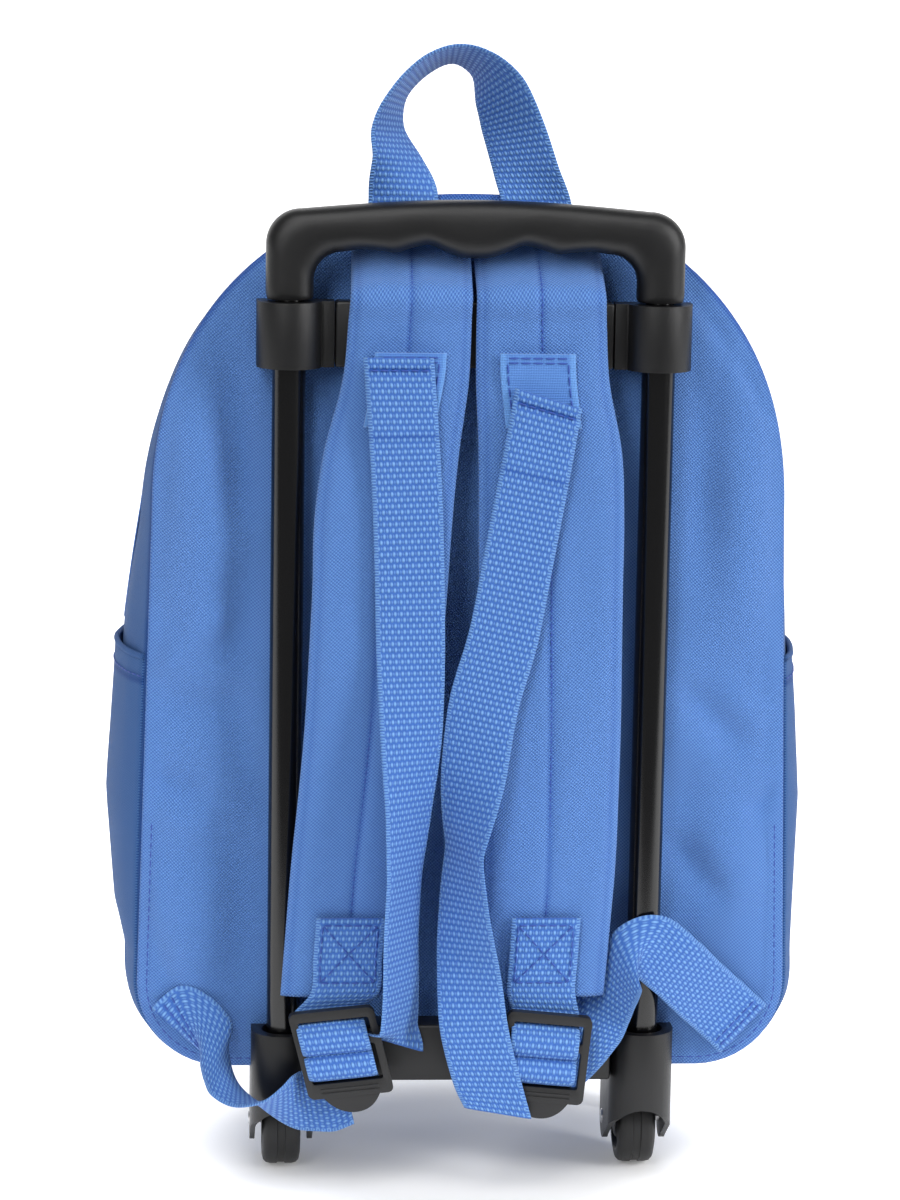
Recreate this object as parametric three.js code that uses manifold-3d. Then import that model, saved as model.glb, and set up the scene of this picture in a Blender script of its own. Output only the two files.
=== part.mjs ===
// Child's backpack on a two-wheeled trolley frame, standing upright on its wheels and two front feet.
// Millimetres, +Z up, +X to the right and -Y towards the viewer of the strap side.
// The work frame has the floor at z = 0 and the axes of both outer tubes at y = 0. At the end
// the group is moved so that the origin lies under the middle of the whole footprint.
import * as THREE from 'three';
import { mergeVertices } from 'three/addons/utils/BufferGeometryUtils.js';
import Module from 'manifold-3d';

const wasm = await Module();
wasm.setup();

// Clearances
const gap = 0.3;              // between pieces that touch
const runningGap = 0.3;       // between pieces that slide or turn

// Trolley tubes and handle
const tubeSpread = 132;       // between the axes of the two tubes
const outerTubeDiameter = 12;
const outerTubeWall = 0.8;
const innerTubeDiameter = 9.8;
const handleTravel = 220;
const tubeEngaged = 48;       // left inside the outer tube with the handle fully out
const gripWidth = 149;        // over both legs
const gripLegWidth = 17;
const gripDepth = 16.4;       // front to back
const gripHeight = 35.6;      // leg ends to the top of the bar
const gripCorner = 16;        // outer corner radius
const gripCrown = 3.6;        // rise of the bar from its shoulders to its middle
const gripBar = 13.5;         // height of the bar at its thinnest
const gripSocketDepth = 14;
const gripSeatGap = 0.8;      // between a leg and the sleeve under it

// Upper sleeves and crossbar
const sleeveDiameter = 23.2;
const sleeveHeight = 23.5;
const sleeveBottom = 301;
const sleeveLip = 2.2;        // top lip that holds the outer tube
const sleeveBoss = 16;        // reach of the crossbar boss from the tube axis
const crossbarFront = 2;      // front face, ahead of the tube axes
const frameBack = 6.2;        // flat back of the frame, behind the tube axes

// Lower housings, crossbar and wheels
const housingTop = 57;
const housingRecess = 15.6;   // diameter of the ring recess round the tube
const housingRecessDepth = 3;
const housingSocketDepth = 13;
const forkBack = 27;          // back edge of the fork behind the tube axes
const forkTop = 39.4;
const archWidth = 19.5;
const archTop = 28.4;
const lowerBarTop = 60;
const lowerBarHeight = 21;
const lowerBarFront = 7;
const wheelDiameter = 34;
const wheelWidth = 14.3;
const wheelClearance = 1.4;   // between the wheel and the fork's well
const axleBack = 19;          // axle behind the tube axes
const axleDiameter = 4;
const axleTip = 8;            // radius of the fork's round end

// Bag
const panelFront = 6.5;       // front face of the back panel
const panelBottom = 40;
const panelTop = 361;
const panelWidthLow = 239;
const panelWidthHigh = 229;
const panelCorner = 38;
const panelEdgeRoll = 2.5;    // how far the panel's rim rolls away
const topLean = 12.5;         // how far the top of the panel leans away
const topLeanHeight = 71;     // height over which it leans
const clothWall = 2;
const clothGap = 1.1;         // between layers of cloth that follow each other
const sideBulge = 12.5;
const bagDepth = 102;
const bagDepthTop = 74;
const frontInset = 5;
const frontDome = 11;
const pocketTop = 193;
const pocketBottom = 47;
const pocketMouth = 3;        // how far the hem stands off the side
const pocketWall = 1.5;
const zipWidth = 22;
const zipThickness = 1.2;
const zipAbovePocket = 6;
const bottomSag = 9;          // how far the bag's bottom hangs ahead of the fork
const footDiameter = 13;
const footFlange = 17;
const footFlangeThickness = 2.4;
const footFromFront = 24;
const footSpread = 136;

// Webbing, straps and buckles
const webWidth = 25;
const webThickness = 1.6;
const strapThickness = 7;
const strapTop = 349;
const strapBottom = 73;
const patchSize = 27;
const patchThickness = 1;
const patchTop = 309.5;
const buckleWidth = 31;
const buckleHeight = 33;
const buckleThickness = 4;
const buckleBar = 3.5;        // height of the top bar
const buckleMiddleBar = 3;
const buckleLowerBar = 5.5;
const buckleLobe = 6.5;       // reach of the thumb lobe below the frame
const buckleFront = 20.1;     // buckle's middle plane ahead of the tube axes
const boxLength = 30;         // stitched length of the end loops
const loopTop = 414;
const tailEndLeft = 308;
const tailEndRight = 294;
const tailDropLeft = 11.5;    // lowest point of each tail below the strap's end
const tailDropRight = 41;

const tubeRadius = outerTubeDiameter / 2;
const boreRadius = tubeRadius - outerTubeWall;
const sleeveRadius = sleeveDiameter / 2;
const sleeveTop = sleeveBottom + sleeveHeight;
const gripBottom = sleeveTop + gripSeatGap;
const gripTop = gripBottom + gripHeight;
const wheelRadius = wheelDiameter / 2;
const sides = [{ name: 'left', sign: -1 }, { name: 'right', sign: 1 }];

const finish = {
  fabric: { color: 0x2f6fcf, roughness: 0.8, metalness: 0 },
  webbing: { color: 0x2a66c8, roughness: 0.75, metalness: 0 },
  plastic: { color: 0x1c1c1e, roughness: 0.45, metalness: 0 },
  tube: { color: 0x17171a, roughness: 0.3, metalness: 0.5 },
  rubber: { color: 0x202022, roughness: 0.7, metalness: 0 },
};

const bag = new THREE.Group();

function addMesh(name, geometry, look, parent = bag) {
  const mesh = new THREE.Mesh(geometry, new THREE.MeshStandardMaterial(finish[look]));
  mesh.name = name;
  parent.add(mesh);
  return mesh;
}

const mix = (a, b, t) => a + (b - a) * t;

function smooth(t) {
  const s = Math.min(Math.max(t, 0), 1);
  return s * s * (3 - 2 * s);
}

// Value of one column of a table at a share, with straight runs between rows.
function readTable(rows, key, share, column) {
  for (let i = 1; i < rows.length; i += 1) {
    const [a, b] = [rows[i - 1], rows[i]];
    if (share <= b[key] || i === rows.length - 1) {
      const t = Math.min(Math.max((share - a[key]) / (b[key] - a[key]), 0), 1);
      return mix(a[column], b[column], t);
    }
  }
  return rows[0][column];
}

// Mesh building

function meshFrom(points, faces) {
  const geometry = new THREE.BufferGeometry();
  geometry.setAttribute('position', new THREE.Float32BufferAttribute(points.flatMap((p) => p.toArray()), 3));
  geometry.setIndex(faces.flat());
  let volume = 0;
  for (const [a, b, c] of faces) {
    volume += points[a].dot(new THREE.Vector3().crossVectors(points[b], points[c]));
  }
  if (volume < 0) geometry.setIndex(faces.flatMap(([a, b, c]) => [a, c, b]));
  geometry.computeVertexNormals();
  return geometry;
}

const quad = (a, b, c, d) => [[a, b, c], [a, c, d]];

// Solid through closed rings with the same number of points, with a fan over each end.
function loft(rings) {
  const count = rings[0].length;
  const points = rings.flat();
  const faces = [];
  for (let r = 0; r + 1 < rings.length; r += 1) {
    for (let i = 0; i < count; i += 1) {
      const j = (i + 1) % count;
      faces.push(...quad(r * count + i, r * count + j, (r + 1) * count + j, (r + 1) * count + i));
    }
  }
  for (const [start, flip] of [[0, true], [(rings.length - 1) * count, false]]) {
    const middle = new THREE.Vector3();
    for (let i = 0; i < count; i += 1) middle.add(points[start + i]);
    points.push(middle.divideScalar(count));
    const hub = points.length - 1;
    for (let i = 0; i < count; i += 1) {
      const j = (i + 1) % count;
      faces.push(flip ? [hub, start + j, start + i] : [hub, start + i, start + j]);
    }
  }
  return meshFrom(points, faces);
}

// Sheet of cloth between an outer and an inner grid of points, its rows joined end to end if wrapped.
function sheet(outer, inner, wrap) {
  const rows = outer.length;
  const cols = outer[0].length;
  const points = [...outer.flat(), ...inner.flat()];
  const out = (r, c) => (r % rows) * cols + c;
  const back = (r, c) => rows * cols + out(r, c);
  const faces = [];
  for (let r = 0; r < (wrap ? rows : rows - 1); r += 1) {
    for (let c = 0; c + 1 < cols; c += 1) {
      faces.push(...quad(out(r, c), out(r + 1, c), out(r + 1, c + 1), out(r, c + 1)));
      faces.push(...quad(back(r, c), back(r, c + 1), back(r + 1, c + 1), back(r + 1, c)));
    }
    faces.push(...quad(out(r, 0), back(r, 0), back(r + 1, 0), out(r + 1, 0)));
    faces.push(...quad(out(r, cols - 1), out(r + 1, cols - 1), back(r + 1, cols - 1), back(r, cols - 1)));
  }
  if (!wrap) {
    for (let c = 0; c + 1 < cols; c += 1) {
      faces.push(...quad(out(0, c), out(0, c + 1), back(0, c + 1), back(0, c)));
      const last = rows - 1;
      faces.push(...quad(out(last, c), back(last, c), back(last, c + 1), out(last, c + 1)));
    }
  }
  return meshFrom(points, faces);
}

function toSolid(geometry) {
  const plain = geometry.clone();
  for (const name of Object.keys(plain.attributes)) {
    if (name !== 'position') plain.deleteAttribute(name);
  }
  const merged = mergeVertices(plain, 1e-4);
  return new wasm.Manifold(new wasm.Mesh({
    numProp: 3,
    vertProperties: new Float32Array(merged.attributes.position.array),
    triVerts: new Uint32Array(merged.index.array),
  }));
}

function toGeometry(solid) {
  const mesh = solid.getMesh();
  const geometry = new THREE.BufferGeometry();
  geometry.setAttribute('position', new THREE.BufferAttribute(new Float32Array(mesh.vertProperties), 3));
  geometry.setIndex(new THREE.BufferAttribute(new Uint32Array(mesh.triVerts), 1));
  geometry.computeVertexNormals();
  return geometry;
}

// Straight extrusions of a plan (x, y), of a side view (y, z) and of a front view (x, z)

function risen(shape, bottom, top, segments = 8) {
  const geometry = new THREE.ExtrudeGeometry(shape, {
    depth: top - bottom, bevelEnabled: false, curveSegments: segments,
  });
  return geometry.translate(0, 0, bottom);
}

function sideways(shape, left, right, segments = 8) {
  const geometry = new THREE.ExtrudeGeometry(shape, {
    depth: right - left, bevelEnabled: false, curveSegments: segments,
  });
  const turn = new THREE.Matrix4().makeBasis(
    new THREE.Vector3(0, 1, 0), new THREE.Vector3(0, 0, 1), new THREE.Vector3(1, 0, 0),
  );
  return geometry.applyMatrix4(turn).translate(left, 0, 0);
}

function backwards(shape, front, back, segments = 8) {
  const geometry = new THREE.ExtrudeGeometry(shape, {
    depth: back - front, bevelEnabled: false, curveSegments: segments,
  });
  const turn = new THREE.Matrix4().makeBasis(
    new THREE.Vector3(1, 0, 0), new THREE.Vector3(0, 0, 1), new THREE.Vector3(0, -1, 0),
  );
  return geometry.applyMatrix4(turn).translate(0, back, 0);
}

function upright(radius, bottom, top, x = 0, segments = 16) {
  const geometry = new THREE.CylinderGeometry(radius, radius, top - bottom, segments);
  return geometry.rotateX(Math.PI / 2).translate(x, 0, (top + bottom) / 2);
}

function crosswise(radius, length, y, z, segments = 20) {
  const geometry = new THREE.CylinderGeometry(radius, radius, length, segments);
  return geometry.rotateZ(Math.PI / 2).translate(0, y, z);
}

function roundedRectangle(left, right, bottom, top, radius) {
  const shape = new THREE.Shape();
  shape.moveTo(left + radius, bottom);
  shape.lineTo(right - radius, bottom);
  shape.absarc(right - radius, bottom + radius, radius, -Math.PI / 2, 0);
  shape.lineTo(right, top - radius);
  shape.absarc(right - radius, top - radius, radius, 0, Math.PI / 2);
  shape.lineTo(left + radius, top);
  shape.absarc(left + radius, top - radius, radius, Math.PI / 2, Math.PI);
  shape.lineTo(left, bottom + radius);
  shape.absarc(left + radius, bottom + radius, radius, Math.PI, Math.PI * 1.5);
  return shape;
}

// Round front and flat back, as the sleeves and housings have round their tubes.
function clampPlan(radius, back) {
  const plan = new THREE.Shape();
  plan.moveTo(-radius, back);
  plan.lineTo(-radius, 0);
  plan.absarc(0, 0, radius, Math.PI, Math.PI * 2);
  plan.lineTo(radius, back);
  return plan;
}

// Trolley frame

function outerTube() {
  const ring = [
    new THREE.Vector2(boreRadius, housingTop - housingSocketDepth + gap),
    new THREE.Vector2(tubeRadius, housingTop - housingSocketDepth + gap),
    new THREE.Vector2(tubeRadius, sleeveTop - sleeveLip - gap),
    new THREE.Vector2(boreRadius, sleeveTop - sleeveLip - gap),
  ];
  return new THREE.LatheGeometry([...ring, ring[0]], 16).rotateX(Math.PI / 2);
}

function innerTube() {
  const top = gripBottom + gripSocketDepth - gap;
  return upright(innerTubeDiameter / 2, top - handleTravel - tubeEngaged, top, 0, 16);
}

function sleeve(sign) {
  const body = toSolid(risen(clampPlan(sleeveRadius, frameBack), sleeveBottom, sleeveTop, 8));
  const reach = [Math.min(0, -sign * sleeveBoss), Math.max(0, -sign * sleeveBoss)];
  const bossPlan = new THREE.Shape();
  bossPlan.moveTo(reach[0], frameBack);
  bossPlan.lineTo(reach[0], -crossbarFront);
  bossPlan.lineTo(reach[1], -crossbarFront);
  bossPlan.lineTo(reach[1], frameBack);
  const boss = toSolid(risen(bossPlan, sleeveBottom, sleeveTop));
  const bore = toSolid(upright(tubeRadius + gap, sleeveBottom - 1, sleeveTop - sleeveLip));
  const throat = toSolid(upright(innerTubeDiameter / 2 + runningGap, sleeveBottom, sleeveTop + 1));
  return toGeometry(body.add(boss).subtract(bore).subtract(throat));
}

function housing() {
  const side = new THREE.Shape();
  side.moveTo(-sleeveRadius, housingTop);
  side.lineTo(-sleeveRadius, archTop - 2);
  side.lineTo(axleBack - axleTip * 0.7, wheelRadius - axleTip * 0.7);
  side.absarc(axleBack, wheelRadius, axleTip, -Math.PI * 0.75, 0);
  side.lineTo(forkBack, forkTop);
  side.lineTo(frameBack, forkTop);
  side.lineTo(frameBack, housingTop);
  const body = toSolid(sideways(side, -sleeveRadius, sleeveRadius, 5))
    .intersect(toSolid(risen(clampPlan(sleeveRadius, forkBack + 1), 0, housingTop + 1, 8)));
  const arch = new THREE.Shape();
  const archRadius = archWidth / 2;
  arch.moveTo(-archRadius, -1);
  arch.lineTo(archRadius, -1);
  arch.lineTo(archRadius, archTop - archRadius);
  arch.absarc(0, archTop - archRadius, archRadius, 0, Math.PI);
  const frontArch = toSolid(backwards(arch, -sleeveRadius - 1, axleBack));
  const well = toSolid(crosswise(wheelRadius + wheelClearance, archWidth, axleBack, wheelRadius, 20));
  const recess = toSolid(upright(housingRecess / 2, housingTop - housingRecessDepth, housingTop + 1));
  const socket = toSolid(upright(tubeRadius + gap, housingTop - housingSocketDepth, housingTop + 1));
  const hole = toSolid(crosswise(axleDiameter / 2 + gap, sleeveDiameter + 2, axleBack, wheelRadius, 12));
  return toGeometry(body.subtract(frontArch).subtract(well).subtract(recess).subtract(socket).subtract(hole));
}

function wheel() {
  const bore = axleDiameter / 2 + runningGap;
  const half = wheelWidth / 2;
  const outline = [
    [bore, -half], [0.4 * wheelRadius, -half], [0.5 * wheelRadius, -half * 0.8], [0.76 * wheelRadius, -half],
    [0.93 * wheelRadius, -half * 0.93], [wheelRadius, -half * 0.6], [wheelRadius, half * 0.6],
    [0.93 * wheelRadius, half * 0.93], [0.76 * wheelRadius, half], [0.5 * wheelRadius, half * 0.8],
    [0.4 * wheelRadius, half], [bore, half], [bore, -half],
  ];
  const profile = outline.map(([r, a]) => new THREE.Vector2(r, a));
  return new THREE.LatheGeometry(profile, 18).rotateZ(Math.PI / 2);
}

// Front view of the handle: outer and inner edge of each section, from the right leg's end to the middle.
function gripSections() {
  const half = gripWidth / 2;
  const inner = half - gripLegWidth;
  const shoulder = gripTop - gripCrown;
  const rows = [];
  const legTop = shoulder - gripCorner;
  const insideCorner = gripCorner * 0.62;
  const insideTop = shoulder - gripBar;
  for (const share of [0, 1]) {
    const z = mix(gripBottom, legTop, share);
    rows.push({ outer: [half, z], inner: [inner, mix(gripBottom, insideTop - insideCorner, share)] });
  }
  for (const share of [0.2, 0.4, 0.6, 0.8, 1]) {
    const a = share * Math.PI / 2;
    rows.push({
      outer: [half - gripCorner * (1 - Math.cos(a)), legTop + gripCorner * Math.sin(a)],
      inner: [inner - insideCorner * (1 - Math.cos(a)), insideTop - insideCorner * (1 - Math.sin(a))],
    });
  }
  // Finger waves under the bar, as shares of its half span and of the bar's height.
  const waves = [
    { at: 1, drop: 0 }, { at: 0.86, drop: -0.03 }, { at: 0.72, drop: 0.03 }, { at: 0.6, drop: 0.09 },
    { at: 0.48, drop: 0.0 }, { at: 0.36, drop: -0.06 }, { at: 0.22, drop: 0.12 }, { at: 0.1, drop: 0.25 },
    { at: 0, drop: 0.27 },
  ];
  const outerSpan = half - gripCorner;
  const innerSpan = inner - insideCorner;
  for (const row of waves.slice(1)) {
    const rise = gripCrown * Math.cos(row.at * Math.PI / 2);
    rows.push({
      outer: [outerSpan * row.at, shoulder + rise],
      inner: [innerSpan * row.at, insideTop + rise * 0.6 - gripBar * row.drop],
    });
  }
  return rows;
}

function grip() {
  const right = gripSections();
  const left = right.slice(0, -1).reverse().map((row) => ({
    outer: [-row.outer[0], row.outer[1]], inner: [-row.inner[0], row.inner[1]],
  }));
  const points = 10;
  const rings = [...right, ...left].map((row) => {
    const ring = [];
    for (let i = 0; i < points; i += 1) {
      const a = (i / points) * Math.PI * 2;
      const [c, s] = [Math.cos(a), Math.sin(a)];
      const share = 0.5 + 0.5 * Math.sign(c) * Math.abs(c) ** 0.8;
      const y = (gripDepth / 2) * Math.sign(s) * Math.abs(s) ** 0.8;
      ring.push(new THREE.Vector3(
        mix(row.inner[0], row.outer[0], share), y, mix(row.inner[1], row.outer[1], share),
      ));
    }
    return ring;
  });
  let solid = toSolid(loft(rings));
  for (const side of sides) {
    const socket = upright(innerTubeDiameter / 2 + gap, gripBottom - 1, gripBottom + gripSocketDepth,
      side.sign * tubeSpread / 2);
    solid = solid.subtract(toSolid(socket));
  }
  return toGeometry(solid);
}

function crossbar(halfLength, front, bottom, top) {
  return backwards(roundedRectangle(-halfLength, halfLength, bottom, top, 0.8), -front, frameBack, 2);
}

// Bag: outline of the back panel and the walls that follow it

const archCentre = panelTop - panelWidthHigh / 2;

const panelShape = new THREE.Shape();
panelShape.moveTo(0, panelBottom);
panelShape.lineTo(panelWidthLow / 2 - panelCorner, panelBottom);
panelShape.absarc(panelWidthLow / 2 - panelCorner, panelBottom + panelCorner, panelCorner, -Math.PI / 2, 0);
panelShape.lineTo(panelWidthHigh / 2, archCentre);
panelShape.absarc(0, archCentre, panelWidthHigh / 2, 0, Math.PI);
panelShape.lineTo(-panelWidthLow / 2, panelBottom + panelCorner);
panelShape.absarc(
  -panelWidthLow / 2 + panelCorner, panelBottom + panelCorner, panelCorner, Math.PI, Math.PI * 1.5,
);
panelShape.lineTo(0, panelBottom);

// Point and outward direction of the outline (x, z) at a share of its length, from the bottom middle.
function outlineAt(share) {
  const u = ((share % 1) + 1) % 1;
  const point = panelShape.getPointAt(u);
  const step = 0.002;
  const ahead = panelShape.getPointAt(Math.min(u + step, 1));
  const behind = panelShape.getPointAt(Math.max(u - step, 0));
  const run = ahead.sub(behind).normalize();
  return { point, outward: new THREE.Vector2(run.y, -run.x) };
}

function shareAtHeight(height) {
  let [low, high] = [0, 0.5];
  for (let i = 0; i < 40; i += 1) {
    const middle = (low + high) / 2;
    if (outlineAt(middle).point.y < height) low = middle;
    else high = middle;
  }
  return (low + high) / 2;
}

const heightShare = (z) => Math.min(Math.max((z - panelBottom) / (panelTop - panelBottom), 0), 1);

// How far the sides stand out at each height, as shares of the height and of the side bulge.
const bulgeRows = [
  { height: 0, bulge: 0.85 }, { height: 0.12, bulge: 0.8 }, { height: 0.3, bulge: 1 },
  { height: 0.5, bulge: 0.8 }, { height: 0.63, bulge: 0.55 }, { height: 0.75, bulge: 0.38 },
  { height: 1, bulge: 0.25 },
];

const panelFaceAt = (z) => panelFront + topLean * smooth((z - (panelTop - topLeanHeight)) / topLeanHeight);
const backSeamAt = (z) => panelFaceAt(z) + panelEdgeRoll + clothWall;
const frontSeamAt = (z) => panelFront + mix(bagDepth, bagDepthTop, smooth(heightShare(z)));

// Share of the depth over which the flat bottom rests on the forks before it sags.
const bottomSeams = [backSeamAt(panelBottom), frontSeamAt(panelBottom)];
const depthAtBottom = (y) => (y - bottomSeams[0]) / (bottomSeams[1] - bottomSeams[0]);
const forkShare = depthAtBottom(forkBack + 1);

// Outer face of the gusset at a share of the outline and a share of the depth, raised by lift.
function gussetPoint(share, depth, lift = 0) {
  const { point, outward } = outlineAt(share);
  const bulge = sideBulge * readTable(bulgeRows, 'height', heightShare(point.y), 'bulge');
  const beyondFork = Math.max(depth - forkShare, 0) / (1 - forkShare);
  const sideOut = bulge * Math.sin(Math.PI * depth) ** 0.8 - frontInset * depth;
  const sagOut = bottomSag * Math.sin(Math.PI * beyondFork) ** 0.8 - frontInset * beyondFork;
  const out = mix(sideOut, sagOut, smooth(-outward.y * 1.4 - 0.3)) + lift;
  const y = mix(backSeamAt(point.y) + gap, frontSeamAt(point.y), depth);
  return new THREE.Vector3(point.x + outward.x * out, y, point.y + outward.y * out);
}

function gussetPatch(shares, depths, liftAt, wall, wrap = false) {
  const face = (extra) => shares.map((s, i) => depths.map((d, j) => (
    gussetPoint(s, d, liftAt(i / (shares.length - 1), j / (depths.length - 1)) - extra)
  )));
  return sheet(face(0), face(wall), wrap);
}

const aroundCount = 44;       // sections round the bag

const steps = (from, to, count) => Array.from({ length: count + 1 }, (_, i) => mix(from, to, i / count));

const depthSections = [0, forkShare / 2, ...steps(forkShare, 1, 4)];

function gusset() {
  const shares = Array.from({ length: aroundCount }, (_, i) => i / aroundCount);
  return gussetPatch(shares, depthSections, () => 0, clothWall, true);
}

// Domed or flat panel through rings drawn in towards the middle of the outline.
function panel(outlineInset, faceAt, scales) {
  const centre = new THREE.Vector2(0, mix(panelBottom, panelTop, 0.5));
  const ring = (scale, depth) => Array.from({ length: aroundCount }, (_, i) => {
    const { point, outward } = outlineAt(i / aroundCount);
    const edge = point.addScaledVector(outward, -outlineInset);
    const place = edge.sub(centre).multiplyScalar(scale).add(centre);
    return new THREE.Vector3(place.x, faceAt(place.y, scale) + depth, place.y);
  });
  const front = scales.map((scale) => ring(scale, 0));
  const back = [...scales].reverse().map((scale) => ring(scale, clothWall));
  return loft([...front, ...back]);
}

function backPanel() {
  return panel(0, (z, scale) => panelFaceAt(z) + panelEdgeRoll * scale ** 12, [0.35, 0.8, 1]);
}

function frontPanel() {
  const faceAt = (z, scale) => frontSeamAt(z) + gap + frontDome * (1 - scale ** 2.6);
  return panel(frontInset, faceAt, [0.3, 0.62, 0.86, 1]);
}

function sidePocket(sign) {
  const [low, high] = [shareAtHeight(pocketBottom), shareAtHeight(pocketTop)];
  const below = steps(0, 1, aroundCount).filter((s) => s > low - 1 / aroundCount && s < high - 0.004);
  const rightShares = [...below, high];
  const shares = sign > 0 ? rightShares : rightShares.map((s) => 1 - s).reverse();
  const depths = depthSections.slice(1, -1);
  const liftAt = (along, across) => {
    const up = sign > 0 ? along : 1 - along;
    return clothGap + pocketWall + pocketMouth * up ** 2 * Math.sin(Math.PI * across);
  };
  return gussetPatch(shares, [0.02, ...depths, 0.96], liftAt, pocketWall);
}

function mainZip() {
  const end = shareAtHeight(pocketTop + zipAbovePocket);
  const middle = 0.6;
  const half = zipWidth / 2 / bagDepth;
  return gussetPatch(steps(end, 1 - end, 30), [middle - half, middle + half],
    () => clothGap + zipThickness, zipThickness);
}

// Front feet, seated under the sagging bottom of the bag

function foot(sign) {
  const y = panelFront + bagDepth - footFromFront;
  const x = sign * footSpread / 2;
  const under = (at) => gussetPoint(Math.abs(x) / panelShape.getLength(), depthAtBottom(at)).z;
  const top = Math.min(under(y - footFlange / 2), under(y), under(y + footFlange / 2)) + gap;
  const profile = [
    [0, 0], [footDiameter * 0.42, 0], [footDiameter / 2, footDiameter * 0.08],
    [footDiameter / 2 + 1, top - footFlangeThickness], [footFlange / 2, top - footFlangeThickness],
    [footFlange / 2, top], [0, top],
  ].map(([r, z]) => new THREE.Vector2(r, z));
  return new THREE.LatheGeometry(profile, 14).rotateX(Math.PI / 2).translate(x, y, 0);
}

// Webbing and padded straps

const webSection = [
  [1, 0.5], [0.95, 1], [-0.95, 1], [-1, 0.5], [-1, -0.5], [-0.95, -1], [0.95, -1], [1, -0.5],
];
const padSection = [
  [1, 0], [0.93, 0.6], [0.72, 0.95], [0, 1], [-0.72, 0.95], [-0.93, 0.6],
  [-1, 0], [-0.93, -0.6], [-0.72, -0.95], [0, -1], [0.72, -0.95], [0.93, -0.6],
];

// Band through stations that give its place, its width's direction and its width.
function band(stations, thickness, section, count) {
  const path = new THREE.CatmullRomCurve3(stations.map((s) => s.place), false, 'centripetal');
  const rings = [];
  for (let i = 0; i <= count; i += 1) {
    const t = i / count;
    const at = t * (stations.length - 1);
    const k = Math.min(Math.floor(at), stations.length - 2);
    const across = stations[k].across.clone().lerp(stations[k + 1].across, at - k).normalize();
    const width = mix(stations[k].width, stations[k + 1].width, at - k);
    const out = new THREE.Vector3().crossVectors(path.getTangent(t), across).normalize();
    const centre = path.getPoint(t);
    rings.push(section.map(([a, o]) => centre.clone()
      .addScaledVector(across, a * width / 2).addScaledVector(out, o * thickness / 2)));
  }
  return loft(rings);
}

// Direction of a band's width: lean is its angle in the front view, turn its angle out of that view.
function acrossFrom(lean, turn) {
  const [a, b] = [THREE.MathUtils.degToRad(lean), THREE.MathUtils.degToRad(turn)];
  return new THREE.Vector3(Math.cos(a) * Math.cos(b), Math.sin(b), Math.sin(a) * Math.cos(b));
}

// Middle line of each shoulder strap: down is a share of its length, side and width are shares of the
// tube spread, and ahead is a share of the strap's room ahead of the crossbar.
const strapRows = {
  left: [
    { down: 0, side: -0.186, width: 0.318 }, { down: 0.18, side: -0.198, width: 0.333 },
    { down: 0.32, side: -0.239, width: 0.38 }, { down: 0.48, side: -0.252, width: 0.364 },
    { down: 0.67, side: -0.276, width: 0.356 }, { down: 0.83, side: -0.31, width: 0.35 },
    { down: 1, side: -0.335, width: 0.35 },
  ],
  right: [
    { down: 0, side: 0.155, width: 0.333 }, { down: 0.18, side: 0.168, width: 0.348 },
    { down: 0.3, side: 0.211, width: 0.4 }, { down: 0.48, side: 0.214, width: 0.392 },
    { down: 0.67, side: 0.222, width: 0.383 }, { down: 0.83, side: 0.222, width: 0.37 },
    { down: 1, side: 0.205, width: 0.356 },
  ],
};

const strapFaceBack = -crossbarFront - gap - 0.4;
const strapOverBar = strapFaceBack - strapThickness / 2;
const strapHang = 5.4;        // how far the hanging strap moves ahead of where it passes the crossbar

// The strap comes from behind the grip, dips under it and passes over the upper crossbar.
const strapDepthRows = [
  { z: strapBottom, y: strapOverBar - strapHang },
  { z: mix(strapBottom, sleeveBottom, 0.55), y: strapOverBar - strapHang * 0.9 },
  { z: sleeveBottom - 4, y: strapOverBar - strapHang * 0.1 },
  { z: sleeveTop - 6, y: strapOverBar },
  { z: sleeveTop + 2.5, y: strapOverBar - 1 },
  { z: sleeveTop + 7, y: strapOverBar + 4.5 },
  { z: sleeveTop + 11, y: strapOverBar + 10.5 },
  { z: sleeveTop + 16.5, y: strapOverBar + 17.5 },
  { z: strapTop, y: panelFaceAt(strapTop) - strapThickness / 2 - gap },
];

function strapPlace(side, z) {
  const down = (strapTop - z) / (strapTop - strapBottom);
  const rows = strapRows[side.name];
  const x = tubeSpread * readTable(rows, 'down', down, 'side');
  return new THREE.Vector3(x, readTable(strapDepthRows, 'z', z, 'y'), z);
}

function strapWidthAt(side, z) {
  const down = (strapTop - z) / (strapTop - strapBottom);
  return tubeSpread * readTable(strapRows[side.name], 'down', down, 'width');
}

function shoulderStrap(side) {
  const lower = steps(strapBottom, sleeveBottom - 4, 9);
  const upper = strapDepthRows.slice(3).map((row) => row.z);
  const stations = [...lower, ...upper].map((z) => ({
    place: strapPlace(side, z), across: new THREE.Vector3(1, 0, 0), width: strapWidthAt(side, z),
  }));
  return band(stations, strapThickness * 0.94, padSection, 20);
}

// Point ahead of a strap's front face.
function aheadOfStrap(side, z, lift) {
  const place = strapPlace(side, z);
  return new THREE.Vector3(place.x, place.y - strapThickness / 2 - lift, z);
}

function strapPatch(side, shift) {
  const across = new THREE.Vector3(1, 0, 0);
  const lift = gap + patchThickness / 2;
  const stations = [patchTop, patchTop - patchSize / 2, patchTop - patchSize].map((z) => ({
    place: aheadOfStrap(side, z, lift + 0.2).add(new THREE.Vector3(shift, 0, 0)), across, width: patchSize,
  }));
  return band(stations, patchThickness, webSection, 2);
}

// Buckles: place of the frame's middle, and tilt in the front view
const buckles = {
  left: { x: -tubeSpread * 0.344, z: strapBottom - buckleHeight * 0.575, tilt: 15.5 },
  right: { x: tubeSpread * 0.218, z: strapBottom - buckleHeight * 0.64, tilt: -5 },
};

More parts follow.
